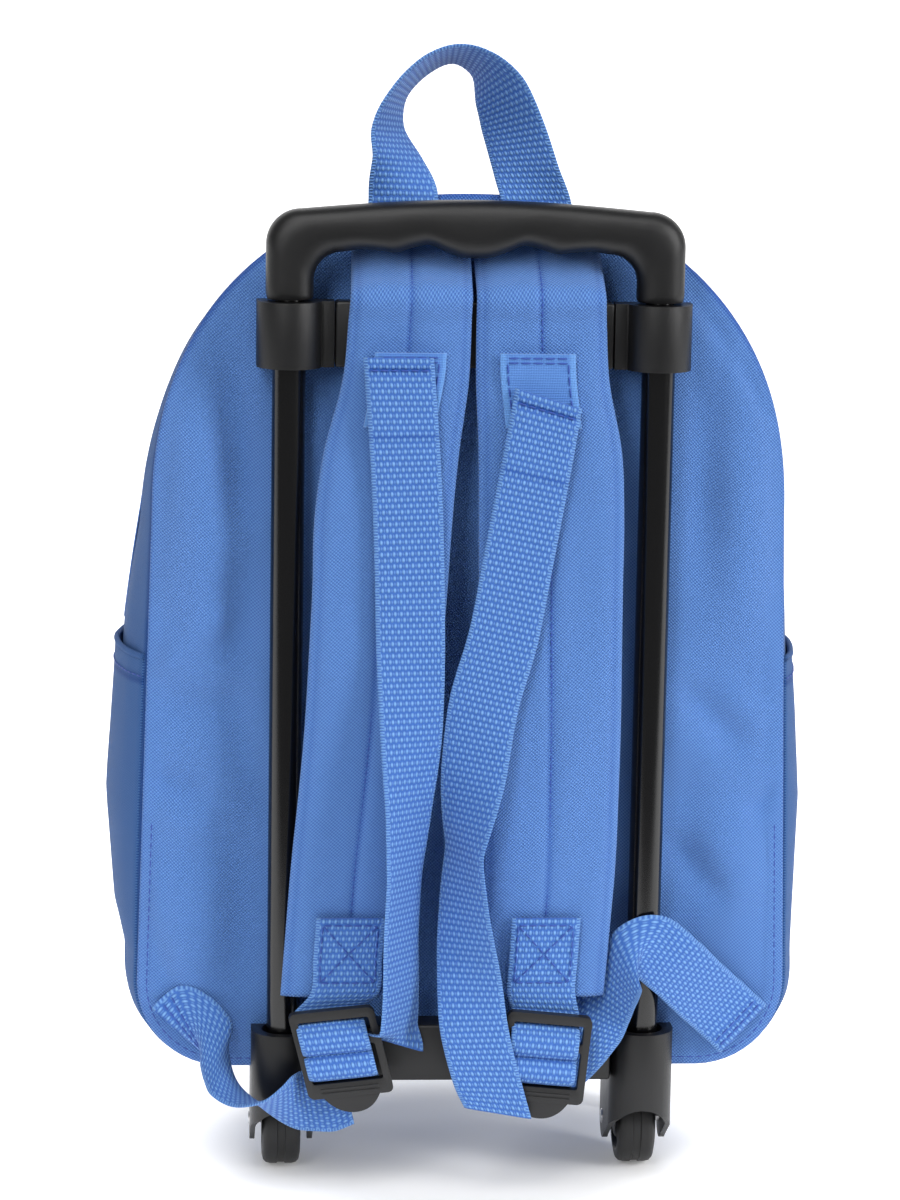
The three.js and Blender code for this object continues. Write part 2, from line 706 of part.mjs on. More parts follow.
function inBuckle(side, across, up, ahead) {
  const { x, z, tilt } = buckles[side.name];
  const a = THREE.MathUtils.degToRad(tilt);
  return new THREE.Vector3(
    x + across * Math.cos(a) - up * Math.sin(a), -buckleFront - ahead,
    z + across * Math.sin(a) + up * Math.cos(a),
  );
}

function buckleFrame(side) {
  const [w, h] = [buckleWidth / 2, buckleHeight / 2];
  const slotHalf = webWidth / 2 + gap;
  const outline = roundedRectangle(-w, w, -h, h, 2);
  const lobe = new THREE.Shape();
  lobe.moveTo(-w * 0.7, -h + 1);
  lobe.quadraticCurveTo(-w * 0.45, -h - buckleLobe, 0, -h - buckleLobe);
  lobe.quadraticCurveTo(w * 0.45, -h - buckleLobe, w * 0.7, -h + 1);
  const upperTop = h - buckleBar;
  const middleTop = upperTop - 7;
  const lowerTop = middleTop - buckleMiddleBar;
  const slots = [[middleTop, upperTop], [-h + buckleLowerBar, lowerTop]];
  const half = buckleThickness / 2;
  let solid = toSolid(backwards(outline, -half, half, 3)).add(toSolid(backwards(lobe, -half, half * 0.4, 6)));
  for (const [bottom, top] of slots) {
    const slot = roundedRectangle(-slotHalf, slotHalf, bottom, top, 0.8);
    solid = solid.subtract(toSolid(backwards(slot, -buckleThickness, buckleThickness, 2)));
  }
  const geometry = toGeometry(solid);
  const turn = THREE.MathUtils.degToRad(-buckles[side.name].tilt);
  return geometry.rotateY(turn).translate(buckles[side.name].x, -buckleFront, buckles[side.name].z);
}

const buckleAcross = (side) => acrossFrom(buckles[side.name].tilt, 0);

// Webbing sewn on the strap's end, round the middle bar of the buckle and back behind it
function endLoop(side) {
  const top = buckleHeight / 2;
  const flat = new THREE.Vector3(1, 0, 0);
  const tilted = buckleAcross(side);
  const lift = gap + webThickness / 2 + 0.2;
  const under = buckleThickness / 2;
  const stations = [
    { place: aheadOfStrap(side, strapBottom + boxLength, lift), across: flat, width: webWidth },
    { place: aheadOfStrap(side, strapBottom + boxLength * 0.5, lift), across: flat, width: webWidth },
    { place: aheadOfStrap(side, strapBottom + 2, lift), across: flat, width: webWidth },
    { place: inBuckle(side, 0, top - buckleBar * 0.5, -under - 2), across: tilted, width: webWidth },
    { place: inBuckle(side, 0, top - buckleBar - 0.8, -under - 1.3), across: tilted, width: webWidth },
    { place: inBuckle(side, 0, top - buckleBar - 4, 0.2), across: tilted, width: webWidth },
    { place: inBuckle(side, 0, top - buckleBar - 8, under + 1.9), across: tilted, width: webWidth },
    { place: inBuckle(side, 0, top - buckleBar - 11.4, under), across: tilted, width: webWidth },
    { place: inBuckle(side, 0, top - buckleBar - 12.2, -under - 0.6), across: tilted, width: webWidth },
  ];
  return band(stations, webThickness, webSection, 18);
}

// Lower webbing, from the bag's bottom corner to the back of the buckle.
// Along and rise are shares of the way from the corner to the buckle, ahead a share of the room
// between the bag and the buckle, and lean and turn are the direction of the width.
const lowerWebRows = {
  left: [
    { along: 0, rise: 0, ahead: 0, lean: 138, turn: 0 },
    { along: 0.08, rise: 0.095, ahead: 0.07, lean: 109, turn: 15 },
    { along: 0.167, rise: 0.055, ahead: 0.25, lean: 78, turn: 25 },
    { along: 0.236, rise: -0.023, ahead: 0.48, lean: 56, turn: 35 },
    { along: 0.25, rise: -0.115, ahead: 0.75, lean: 60, turn: 60 },
    { along: 0.338, rise: -0.192, ahead: 1.02, lean: 70, turn: 85 },
    { along: 0.493, rise: -0.185, ahead: 1.3, lean: 85, turn: 112 },
    { along: 0.6, rise: -0.17, ahead: 1.24, lean: 90, turn: 138 },
    { along: 0.68, rise: -0.16, ahead: 1.06, lean: 95, turn: 160 },
    { along: 0.76, rise: -0.15, ahead: 0.88, lean: 100, turn: 172 },
    { along: 0.9, rise: -0.14, ahead: 0.82, lean: 104, turn: 176 },
    { along: 1.05, rise: -0.1, ahead: 0.82, lean: 112, turn: 180 },
  ],
  right: [
    { along: 0, rise: 0, ahead: 0, lean: 48, turn: 0 },
    { along: 0.125, rise: 0.147, ahead: 0.13, lean: 48, turn: 0 },
    { along: 0.21, rise: 0.247, ahead: 0.32, lean: 48, turn: 0 },
    { along: 0.36, rise: 0.432, ahead: 0.6, lean: 50, turn: 0 },
    { along: 0.5, rise: 0.565, ahead: 0.73, lean: 58, turn: 10 },
    { along: 0.58, rise: 0.54, ahead: 0.92, lean: 112, turn: 30 },
    { along: 0.653, rise: 0.407, ahead: 0.72, lean: 145, turn: 45 },
    { along: 0.72, rise: 0.29, ahead: 0.66, lean: 160, turn: 32 },
    { along: 0.793, rise: 0.193, ahead: 0.86, lean: 172, turn: 8 },
    { along: 0.9, rise: 0.06, ahead: 0.84, lean: 178, turn: 0 },
    { along: 1.02, rise: -0.03, ahead: 0.82, lean: 178, turn: 0 },
  ],
};

function cornerPlace(sign) {
  const inset = webWidth * 0.15;
  const reach = panelWidthLow / 2 - panelCorner + panelCorner * Math.SQRT1_2 - inset;
  const z = panelBottom + panelCorner - panelCorner * Math.SQRT1_2 + inset;
  return new THREE.Vector3(sign * reach, panelFront - gap - webThickness / 2, z);
}

function lowerWebbing(side) {
  const corner = cornerPlace(side.sign);
  const behind = -buckleThickness / 2 - 2;
  const run = inBuckle(side, 0, -buckleHeight / 2 + buckleLowerBar * 0.3, behind).sub(corner);
  const span = Math.hypot(run.x, run.z);
  const stations = lowerWebRows[side.name].map((row) => ({
    place: new THREE.Vector3(
      run.x * row.along, run.y * row.ahead, run.z * row.along + span * row.rise,
    ).add(corner),
    across: acrossFrom(row.lean, row.turn),
    width: webWidth,
  }));
  return toGeometry(toSolid(band(stations, webThickness, webSection, 18)).add(toSolid(webbingTurn(side))));
}

// The lower webbing's end where it turns over the buckle's lower bar, from behind and back again
function webbingTurn(side) {
  const bottom = -buckleHeight / 2 + buckleLowerBar;
  const under = buckleThickness / 2;
  const rows = [
    { up: -6.5, ahead: -under - 6.2 },
    { up: -3.6, ahead: -under - 3 },
    { up: 0, ahead: -under - 1.7 },
    { up: 1.9, ahead: 0 },
    { up: 4, ahead: under + 0.7 },
    { up: 6.4, ahead: 0.2 },
    { up: 7, ahead: -under - 1.6 },
  ];
  const stations = rows.map((row) => ({
    place: inBuckle(side, 0, bottom + row.up, row.ahead), across: buckleAcross(side), width: webWidth,
  }));
  return band(stations, webThickness, webSection, 12);
}

// Loose webbing ends lying up the straps. Up is a share of the way from the buckle to the cut end,
// side a share of the tube spread, ahead the lift off the strap's face in half webbing thicknesses.
const tailRows = {
  left: [
    { up: 1, side: -0.21, ahead: 3.6, lean: 0, turn: 0 },
    { up: 0.9, side: -0.195, ahead: 3.6, lean: 1, turn: 2 },
    { up: 0.82, side: -0.184, ahead: 2.6, lean: 2, turn: 3 },
    { up: 0.7, side: -0.174, ahead: 2.4, lean: 2, turn: 3 },
    { up: 0.58, side: -0.168, ahead: 2.6, lean: 0, turn: 6 },
    { up: 0.45, side: -0.163, ahead: 5, lean: -2, turn: 24 },
    { up: 0.34, side: -0.168, ahead: 9, lean: -4, turn: 45 },
    { up: 0.24, side: -0.178, ahead: 11, lean: -8, turn: 57 },
    { up: 0.15, side: -0.184, ahead: 9.5, lean: -8, turn: 57 },
    { up: 0.06, side: -0.182, ahead: 6, lean: -4, turn: 56 },
    { up: 0.0, side: -0.183, ahead: 3, lean: 0, turn: 56 },
  ],
  right: [
    { up: 1, side: 0.194, ahead: 3.7, lean: -10, turn: 0 },
    { up: 0.93, side: 0.172, ahead: 3.4, lean: -10, turn: 0 },
    { up: 0.78, side: 0.121, ahead: 2.8, lean: -11, turn: -3 },
    { up: 0.67, side: 0.082, ahead: 3, lean: -13, turn: -6 },
    { up: 0.58, side: 0.034, ahead: 3, lean: -12, turn: -12 },
    { up: 0.48, side: 0.008, ahead: 3, lean: -6, turn: -30 },
    { up: 0.34, side: -0.009, ahead: 4, lean: 0, turn: -44 },
    { up: 0.22, side: -0.004, ahead: 8, lean: 4, turn: -30 },
    { up: 0.12, side: 0.019, ahead: 11.5, lean: 6, turn: -12 },
    { up: 0.04, side: 0.06, ahead: 11.5, lean: 9, turn: -4 },
    { up: 0.0, side: 0.088, ahead: 10.5, lean: 11, turn: 0 },
  ],
};

function webbingTail(side, top, bottom) {
  const stations = tailRows[side.name].map((row) => {
    const z = mix(bottom, top, row.up);
    const face = strapPlace(side, Math.max(z, strapBottom)).y - strapThickness / 2;
    return {
      place: new THREE.Vector3(tubeSpread * row.side, face - webThickness * row.ahead * 0.5 - gap, z),
      across: acrossFrom(row.lean, row.turn),
      width: webWidth,
    };
  });
  return band(stations, webThickness, webSection, 22);
}

// Grab loop: side and up are shares of its half width and height, turn the webbing's turn out of view.
const loopRows = [
    { side: -0.86, up: -0.12, lean: 0, turn: 0 },
    { side: -0.84, up: 0.05, lean: 0, turn: 0 },
    { side: -0.86, up: 0.28, lean: -6, turn: 40 },
    { side: -0.92, up: 0.5, lean: -10, turn: 60 },
    { side: -0.82, up: 0.72, lean: -30, turn: 72 },
    { side: -0.55, up: 0.92, lean: -60, turn: 72 },
    { side: -0.22, up: 0.985, lean: -90, turn: 72 },
    { side: 0.08, up: 0.92, lean: -115, turn: 64 },
    { side: 0.3, up: 0.74, lean: -145, turn: 40 },
    { side: 0.47, up: 0.5, lean: -165, turn: 30 },
    { side: 0.63, up: 0.22, lean: -176, turn: 22 },
    { side: 0.76, up: 0.0, lean: -180, turn: 0 },
    { side: 0.78, up: -0.12, lean: -180, turn: 0 },
];
const loopHalfWidth = 30;
const loopBase = panelTop - 3;
const loopLean = 5;            // how far the loop leans away above the panel's edge

function grabLoop() {
  const height = loopTop - loopBase;
  const base = panelFaceAt(loopBase) - webThickness / 2;
  const stations = loopRows.map((row) => ({
    place: new THREE.Vector3(
      loopHalfWidth * row.side, base + loopLean * smooth(row.up * 2), loopBase + height * row.up,
    ),
    across: acrossFrom(row.lean, row.turn),
    width: webWidth,
  }));
  return band(stations, webThickness, webSection, 24);
}

// Assembly

addMesh('back_panel', backPanel(), 'fabric');
addMesh('gusset', gusset(), 'fabric');
addMesh('front_panel', frontPanel(), 'fabric');
addMesh('main_zip', mainZip(), 'webbing');
addMesh('grab_loop', grabLoop(), 'webbing');
addMesh('handle_grip', grip(), 'plastic');
addMesh('upper_crossbar',
  crossbar(tubeSpread / 2 - sleeveBoss - gap, crossbarFront, sleeveBottom, sleeveTop), 'plastic');
addMesh('lower_crossbar',
  crossbar(tubeSpread / 2 - sleeveRadius - gap, lowerBarFront, lowerBarTop - lowerBarHeight, lowerBarTop),
  'plastic');

for (const side of sides) {
  const atTube = new THREE.Group();
  atTube.position.x = side.sign * tubeSpread / 2;
  bag.add(atTube);
  addMesh(`outer_tube_${side.name}`, outerTube(), 'tube', atTube);
  addMesh(`inner_tube_${side.name}`, innerTube(), 'tube', atTube);
  addMesh(`upper_sleeve_${side.name}`, sleeve(side.sign), 'plastic', atTube);
  addMesh(`wheel_housing_${side.name}`, housing(), 'plastic', atTube);
  const atAxle = new THREE.Group();
  atAxle.position.set(0, axleBack, wheelRadius);
  atTube.add(atAxle);
  addMesh(`wheel_${side.name}`, wheel(), 'rubber', atAxle);
  addMesh(`axle_${side.name}`, crosswise(axleDiameter / 2, sleeveDiameter - 1, 0, 0, 12), 'tube', atAxle);
  addMesh(`front_foot_${side.name}`, foot(side.sign), 'plastic');
  addMesh(`side_pocket_${side.name}`, sidePocket(side.sign), 'fabric');
  addMesh(`shoulder_strap_${side.name}`, shoulderStrap(side), 'fabric');
  addMesh(`strap_patch_${side.name}`, strapPatch(side, side.sign > 0 ? -1.5 : 0), 'webbing');
  addMesh(`strap_end_loop_${side.name}`, endLoop(side), 'webbing');
  addMesh(`ladder_buckle_${side.name}`, buckleFrame(side), 'plastic');
  addMesh(`lower_webbing_${side.name}`, lowerWebbing(side), 'webbing');
}
addMesh('webbing_tail_left', webbingTail(sides[0], tailEndLeft, strapBottom - tailDropLeft), 'webbing');
addMesh('webbing_tail_right', webbingTail(sides[1], tailEndRight, strapBottom - tailDropRight), 'webbing');

const box = new THREE.Box3().setFromObject(bag);
bag.position.set(-(box.min.x + box.max.x) / 2, -(box.min.y + box.max.y) / 2, -box.min.z);

export default bag;
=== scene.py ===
# Child's blue backpack on a two-wheeled trolley frame, standing with its strap side to the camera.
# Lengths are millimetres in the frame of the trolley tubes: x across, y away from the camera, z up,
# with both tube axes at y = 0 and the floor at z = 0. placed() puts them in the part's own frame.
import math

import bmesh
import bpy
import numpy as np
from mathutils import Matrix, Vector, noise


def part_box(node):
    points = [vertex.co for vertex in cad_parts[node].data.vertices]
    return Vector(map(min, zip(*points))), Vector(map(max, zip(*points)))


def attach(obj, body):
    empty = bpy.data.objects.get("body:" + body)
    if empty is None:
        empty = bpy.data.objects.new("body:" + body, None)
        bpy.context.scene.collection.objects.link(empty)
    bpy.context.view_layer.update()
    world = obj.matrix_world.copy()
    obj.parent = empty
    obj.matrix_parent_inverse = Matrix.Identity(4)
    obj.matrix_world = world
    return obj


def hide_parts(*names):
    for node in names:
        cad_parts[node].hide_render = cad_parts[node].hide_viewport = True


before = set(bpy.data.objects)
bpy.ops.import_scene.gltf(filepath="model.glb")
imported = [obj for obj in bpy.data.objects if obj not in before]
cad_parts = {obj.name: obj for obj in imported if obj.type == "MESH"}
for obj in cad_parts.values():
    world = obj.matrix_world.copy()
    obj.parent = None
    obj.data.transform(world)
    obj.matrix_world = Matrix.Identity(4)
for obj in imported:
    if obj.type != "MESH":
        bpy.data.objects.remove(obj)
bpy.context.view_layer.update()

MM = 0.001
tube_low, tube_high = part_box("outer_tube_left")
TUBE_Y = (tube_low.y + tube_high.y) / 2

# Trolley frame
TUBE_X = 66.0
TUBE_RADIUS = 6.0
INNER_RADIUS = 4.9
SLEEVE_RADIUS = 11.6
SLEEVE_LOW, SLEEVE_HIGH = 301.0, 324.5
HOUSING_TOP = 57.0
FRAME_BACK = 6.2
WHEEL_RADIUS = 17.0
AXLE_BACK = 19.0
FORK_BACK, FORK_TOP = 27.0, 39.4
OUTER_LOW, OUTER_HIGH = 44.3, 322.0
INNER_LOW, INNER_HIGH = 71.0, 339.0
FOOT_X, FOOT_BACK = 68.0, 84.5
UPPER_BAR_HALF, UPPER_BAR_FRONT = 49.7, 2.0
LOWER_BAR_HALF, LOWER_BAR_FRONT = 54.1, 7.0
LOWER_BAR_LOW, LOWER_BAR_HIGH = 39.0, 60.0
FORK_ARCH_HALF, FORK_ARCH_TOP = 9.75, 28.4

# Bag
PANEL_FRONT = 6.5
PANEL_LOW, PANEL_HIGH = 40.0, 361.0
PANEL_HALF_LOW, PANEL_HALF_HIGH = 119.5, 114.5
PANEL_CORNER = 32.0
ARCH_POWER = 0.885
TOP_LEAN, TOP_LEAN_HEIGHT = 12.5, 71.0
EDGE_ROLL = 2.5
CLOTH = 2.0
BAG_DEPTH, BAG_DEPTH_TOP = 102.0, 74.0
FRONT_INSET, FRONT_INSET_TOP, FRONT_DOME = 5.0, 17.0, 11.0
SIDE_BULGE, BOTTOM_SAG = 12.5, 9.0
POCKET_LOW, POCKET_HIGH = 47.0, 193.0

# Straps and webbing
WEB = 25.0
WEB_THICK = 1.6
STRAP_THICK = 7.0
STRAP_TOP, STRAP_LOW = 349.0, 73.0
BUCKLE_Y = -20.1


def placed(points):
    """Points in the work frame, in millimetres, as points of the part in metres."""
    p = np.asarray(points, float).reshape(-1, 3) * MM
    p[:, 1] += TUBE_Y
    return p


def smooth(t):
    s = np.clip(t, 0.0, 1.0)
    return s * s * (3 - 2 * s)


def mix(a, b, t):
    return a + (b - a) * t


def angles_round(count):
    return np.linspace(0, 2 * math.pi, count, endpoint=False)


# Shaders


class Value:
    """A shader socket that takes part in arithmetic."""

    def __init__(self, finish, socket):
        self.finish, self.socket = finish, socket

    def _do(self, operation, *others, **settings):
        node = self.finish.node("ShaderNodeMath", {"operation": operation, **settings},
                                *[self.socket, *others])
        return Value(self.finish, node.outputs[0])

    def __add__(self, other):
        return self._do("ADD", other)

    __radd__ = __add__

    def __mul__(self, other):
        return self._do("MULTIPLY", other)

    __rmul__ = __mul__

    def __sub__(self, other):
        return self._do("SUBTRACT", other)

    def __rsub__(self, other):
        return self * -1.0 + other

    def __truediv__(self, other):
        return self._do("DIVIDE", other)

    def sine(self):
        return self._do("SINE")

    def size(self):
        return self._do("ABSOLUTE")

    def floor(self):
        return self._do("FLOOR")

    def fraction(self):
        return self._do("FRACT")

    def modulo(self, other):
        return self._do("FLOORED_MODULO", other)

    def clipped(self):
        return self._do("ADD", 0.0, use_clamp=True)

    def most(self, other):
        return self._do("MAXIMUM", other)

    def between(self, low, high):
        node = self.finish.node("ShaderNodeMapRange", {"interpolation_type": "SMOOTHSTEP"},
                                self.socket, low, high, 0.0, 1.0)
        return Value(self.finish, node.outputs[0])


class Finish:
    """One procedural material."""

    def __init__(self, name, roughness=0.5, **uniform):
        self.material = bpy.data.materials.new(name)
        self.material.use_nodes = True
        self.tree = self.material.node_tree
        self.shader = self.tree.nodes["Principled BSDF"]
        self.shader.inputs["Roughness"].default_value = roughness
        for socket, value in uniform.items():
            self.shader.inputs[socket.replace("_", " ")].default_value = value

    def node(self, kind, settings, *values):
        node = self.tree.nodes.new(kind)
        for name, value in settings.items():
            setattr(node, name, value)
        sockets = [s for s in node.inputs if s.enabled]
        for socket, value in zip(sockets, values):
            self.feed(socket, value)
        return node

    def feed(self, socket, value):
        if isinstance(value, Value):
            value = value.socket
        if isinstance(value, bpy.types.NodeSocket):
            self.tree.links.new(value, socket)
        elif value is not None:
            socket.default_value = value

    def position(self):
        """Place on the object in millimetres."""
        spot = self.node("ShaderNodeTexCoord", {}).outputs["Object"]
        return self.node("ShaderNodeVectorMath", {"operation": "SCALE"}, spot, 1000.0).outputs[0]

    def laid(self):
        """Millimetres across and along the cloth, and how much shade is painted where the point lies in a
        seam or groove.
        """
        spot = self.node("ShaderNodeAttribute", {"attribute_name": "laid"}).outputs["Vector"]
        parts = self.node("ShaderNodeSeparateXYZ", {}, spot)
        return [Value(self, s) for s in parts.outputs]

    def speckle(self, scale, detail=3.0, at=None):
        spot = self.position() if at is None else at
        node = self.node("ShaderNodeTexNoise", {}, spot, scale, detail, 0.5)
        return Value(self, node.outputs[0])

    def colour(self, factor, first, second):
        node = self.node("ShaderNodeMix", {"data_type": "RGBA"}, factor, first, second)
        return next(s for s in node.outputs if s.enabled)

    def paint(self, colour=None, roughness=None, relief=None, depth=0.1):
        if colour is not None:
            self.feed(self.shader.inputs["Base Color"], colour)
        if roughness is not None:
            self.feed(self.shader.inputs["Roughness"], roughness)
        if relief is not None:
            bump = self.node("ShaderNodeBump", {})
            bump.inputs["Strength"].default_value = 1.0
            bump.inputs["Distance"].default_value = depth * MM
            self.feed(bump.inputs["Height"], relief)
            self.feed(self.shader.inputs["Normal"], bump.outputs[0])
        return self.material


CLOTH_DARK, CLOTH_LIT = (0.018, 0.085, 0.36, 1), (0.135, 0.305, 0.655, 1)
WEB_DARK, WEB_LIT = (0.018, 0.095, 0.40, 1), (0.22, 0.45, 0.79, 1)
TAPE_DARK, TAPE_LIT = (0.03, 0.125, 0.45, 1), (0.11, 0.29, 0.64, 1)
THREAD_DARK, THREAD_LIT = (0.012, 0.045, 0.27, 1), (0.03, 0.09, 0.40, 1)
TUBE_DARK, TUBE_HAZE = (0.0015, 0.0015, 0.0018, 1), (0.004, 0.004, 0.0044, 1)
RUBBER_DARK, RUBBER_DUST = (0.006, 0.006, 0.0065, 1), (0.02, 0.0195, 0.019, 1)
METAL_DARK, METAL_LIT = (0.42, 0.42, 0.43, 1), (0.6, 0.6, 0.61, 1)


def woven_cloth(name, pitch, shade, gloss):
    """Coated polyester with a fine twilled basket weave that reads as small dots in slanting rows."""
    f = Finish(name, 0.62, Sheen_Weight=gloss / 2, Sheen_Roughness=0.5, Specular_IOR_Level=gloss)
    across, along, seam = f.laid()
    rib = (along - across * 0.8) / pitch
    slant = (rib * (2 * math.pi)).sine()
    dash = ((across + along * 0.9) * (2 * math.pi / (pitch * 0.9))).sine()
    weave = (slant * 0.36 + dash * 0.44 + 0.5).clipped()
    wear = f.speckle(14.0).between(0.3, 0.75)
    patchy = f.speckle(90.0, 4.0).between(0.2, 0.8)
    # The seam value darkens the colour: painted shade in seams and creases.
    tone = (weave * 0.62 + wear * 0.22 + patchy * 0.16 - seam * 0.8).clipped()
    # The shade factor scales both colours down; below 1 it is painted shade.
    dark, lit = ([shade * c for c in colour[:3]] + [1.0] for colour in (CLOTH_DARK, CLOTH_LIT))
    colour = f.colour(tone, dark, lit)
    rough = wear * -0.08 + 0.66 - weave * 0.06
    return f.paint(colour, rough, weave, 0.3)


def ribbed_webbing():
    """Thick webbing: rows of raised floats, each row set half a float aside from the last."""
    f = Finish("ribbed_webbing", 0.6, Sheen_Weight=0.08, Sheen_Roughness=0.5, Specular_IOR_Level=0.35)
    across, along, fold = f.laid()
    row, column = 2.15, 2.2
    lane = (along / row).floor()
    shift = lane.modulo(2.0) * 0.5
    u = ((across / column + shift).fraction() - 0.5) / 0.30
    v = ((along / row).fraction() - 0.5) / 0.46
    big = (1.0 - (u * u + v * v)).clipped()
    u2 = ((across / column + shift + 0.5).fraction() - 0.5) / 0.20
    v2 = ((along / row).fraction() - 0.5) / 0.34
    small = (1.0 - (u2 * u2 + v2 * v2)).clipped() * 0.45
    selvedge = across.size().between(10.7, 11.4)
    edge_rows = ((along * (2 * math.pi / 1.05)).sine() * 0.5 + 0.5) * selvedge
    fibre = (across * (2 * math.pi / 0.37)).sine() * 0.06
    floats = (big.most(small) * (1.0 - selvedge * 0.6)).most(edge_rows * 0.8)
    wear = f.speckle(30.0).between(0.25, 0.8)
    # The fold value darkens the colour: painted shade in stitched grooves and at hem steps.
    tone = (floats * 0.72 + wear * 0.16 + fibre - fold * 0.5).clipped()
    return f.paint(f.colour(tone, WEB_DARK, WEB_LIT), 0.66 - floats * 0.1, floats + fibre, 0.45)


def smooth_tape():
    """The plain side of a closing tape: fine cross ribs with a slightly paler edge."""
    f = Finish("smooth_tape", 0.7, Sheen_Weight=0.3, Sheen_Roughness=0.6, Specular_IOR_Level=0.3)
    across, along, _ = f.laid()
    ribs = (along * (2 * math.pi / 0.9)).sine() * 0.5 + 0.5
    yarn = (across * (2 * math.pi / 0.6)).sine() * 0.5 + 0.5
    edge = across.size().between(11.0, 11.9)
    wear = f.speckle(40.0).between(0.3, 0.7)
    tone = (ribs * 0.18 + yarn * 0.14 + edge * 0.35 + wear * 0.25 + 0.12).clipped()
    return f.paint(f.colour(tone, TAPE_DARK, TAPE_LIT), 0.72, ribs + yarn * 0.6, 0.12)


def thread_finish():
    f = Finish("sewing_thread", 0.55)
    twist = f.speckle(900.0, 2.0)
    return f.paint(f.colour(twist, THREAD_DARK, THREAD_LIT), twist * 0.1 + 0.5, twist, 0.05)


def moulded(name, dark, lit, rough, grain=0.03):
    """Black moulded plastic with a fine spark-eroded grain and handling marks."""
    f = Finish(name, rough, Specular_IOR_Level=0.4)
    fine = f.speckle(2600.0, 2.0)
    broad = f.speckle(45.0, 4.0).between(0.35, 0.7)
    colour = f.colour(broad * 0.6 + fine * 0.4, dark, lit)
    return f.paint(colour, broad * 0.08 + fine * 0.05 + (rough - 0.06), fine, grain)


def coated_tube():
    """Gloss black tube with faint lengthwise draw marks."""
    f = Finish("coated_tube", 0.24, Specular_IOR_Level=0.5)
    drawn_out = f.node("ShaderNodeVectorMath", {"operation": "MULTIPLY"}, f.position(), (1.0, 1.0, 0.02))
    draw = f.speckle(900.0, 2.0, drawn_out.outputs[0])
    haze = f.speckle(25.0).between(0.3, 0.8)
    colour = f.colour(haze, TUBE_DARK, TUBE_HAZE)
    return f.paint(colour, haze * 0.05 + draw * 0.03 + 0.12, draw, 0.006)


def rubber_tread():
    f = Finish("rubber_tread", 0.55, Specular_IOR_Level=0.4)
    fine = f.speckle(1800.0, 2.0)
    dust = f.speckle(60.0, 4.0).between(0.45, 0.75)
    colour = f.colour(dust * 0.7, RUBBER_DARK, RUBBER_DUST)
    return f.paint(colour, dust * 0.15 + 0.48, fine, 0.03)


def bright_metal():
    f = Finish("bright_metal", 0.3, Metallic=1.0)
    marks = f.speckle(1200.0, 2.0)
    return f.paint(f.colour(marks, METAL_DARK, METAL_LIT), marks * 0.15 + 0.25, marks, 0.01)


def pale_floor():
    """White sweep that glows behind and beside the bag, with a painted soft shadow under it where its glow
    is turned down.
    """
    f = Finish("pale_floor", 0.85, Specular_IOR_Level=0.2, Emission_Strength=1.0)
    grain = f.speckle(4.0, 2.0)
    white = f.colour(grain, (0.80, 0.80, 0.805, 1), (0.84, 0.84, 0.84, 1))
    spot = f.position()
    parts = f.node("ShaderNodeSeparateXYZ", {}, spot)
    across, away = (Value(f, s) for s in parts.outputs[:2])
    behind = away.between(-420.0, -260.0)
    # side, back and clear turn the glow down close to the bag: a painted shadow under it.
    side = across / 95.0
    back = (away + 10.0) / 95.0
    clear = (side * side + back * back).between(0.35, 1.5)
    glow = f.colour(behind * (clear * 0.88 + 0.12), (0.0, 0.0, 0.0, 1), (0.95, 0.95, 0.955, 1))
    f.feed(f.shader.inputs["Emission Color"], glow)
    return f.paint(white, grain * 0.05 + 0.82)


cloth = woven_cloth("woven_cloth", 1.25, 1.0, 0.3)
# Side walls: the same cloth with painted shade, darker because they face sideways from the lamps.
wall_cloth_painted_shade = woven_cloth("wall_cloth_painted_shade", 0.95, 0.62, 0.06)
webbing, tape, thread = ribbed_webbing(), smooth_tape(), thread_finish()
plastic = moulded("grained_plastic", (0.003, 0.003, 0.0034, 1), (0.007, 0.007, 0.0075, 1), 0.4)
buckle_plastic = moulded("buckle_plastic", (0.007, 0.007, 0.0075, 1), (0.014, 0.014, 0.0145, 1), 0.46,
                         0.02)
tube_coat, rubber, metal = coated_tube(), rubber_tread(), bright_metal()


# Mesh building


def piece(name, points, faces, material, body="bag_and_frame", laid=None, sharp=None):
    """A piece of the model, from points in the work frame."""
    mesh = bpy.data.meshes.new(name)
    mesh.from_pydata([tuple(p) for p in placed(points)], [], [tuple(int(i) for i in f) for f in faces])
    if laid is not None:
        data = mesh.attributes.new("laid", "FLOAT_VECTOR", "POINT")
        data.data.foreach_set("vector", np.asarray(laid, np.float32).ravel())
    mesh.materials.append(material)
    b = bmesh.new()
    b.from_mesh(mesh)
    bmesh.ops.recalc_face_normals(b, faces=b.faces)
    b.to_mesh(mesh)
    b.free()
    mesh.polygons.foreach_set("use_smooth", [True] * len(mesh.polygons))
    if sharp is not None:
        mesh.set_sharp_from_angle(angle=math.radians(sharp))
    obj = bpy.data.objects.new(name, mesh)
    bpy.context.scene.collection.objects.link(obj)
    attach(obj, body)
    return obj


def ring_faces(rings, count, closed=False):
    faces = []
    for r in range(rings if closed else rings - 1):
        a, b = r * count, ((r + 1) % rings) * count
        for i in range(count):
            j = (i + 1) % count
            faces.append((a + i, a + j, b + j, b + i))
    return faces


def tube_through(rings):
    """Closed skin through rings of equal count, with a flat cap at each end."""
    count = len(rings[0])
    faces = ring_faces(len(rings), count)
    last = (len(rings) - 1) * count
    faces.append(tuple(reversed(range(count))))
    faces.append(tuple(last + i for i in range(count)))
    return np.concatenate([np.asarray(r, float) for r in rings]), faces


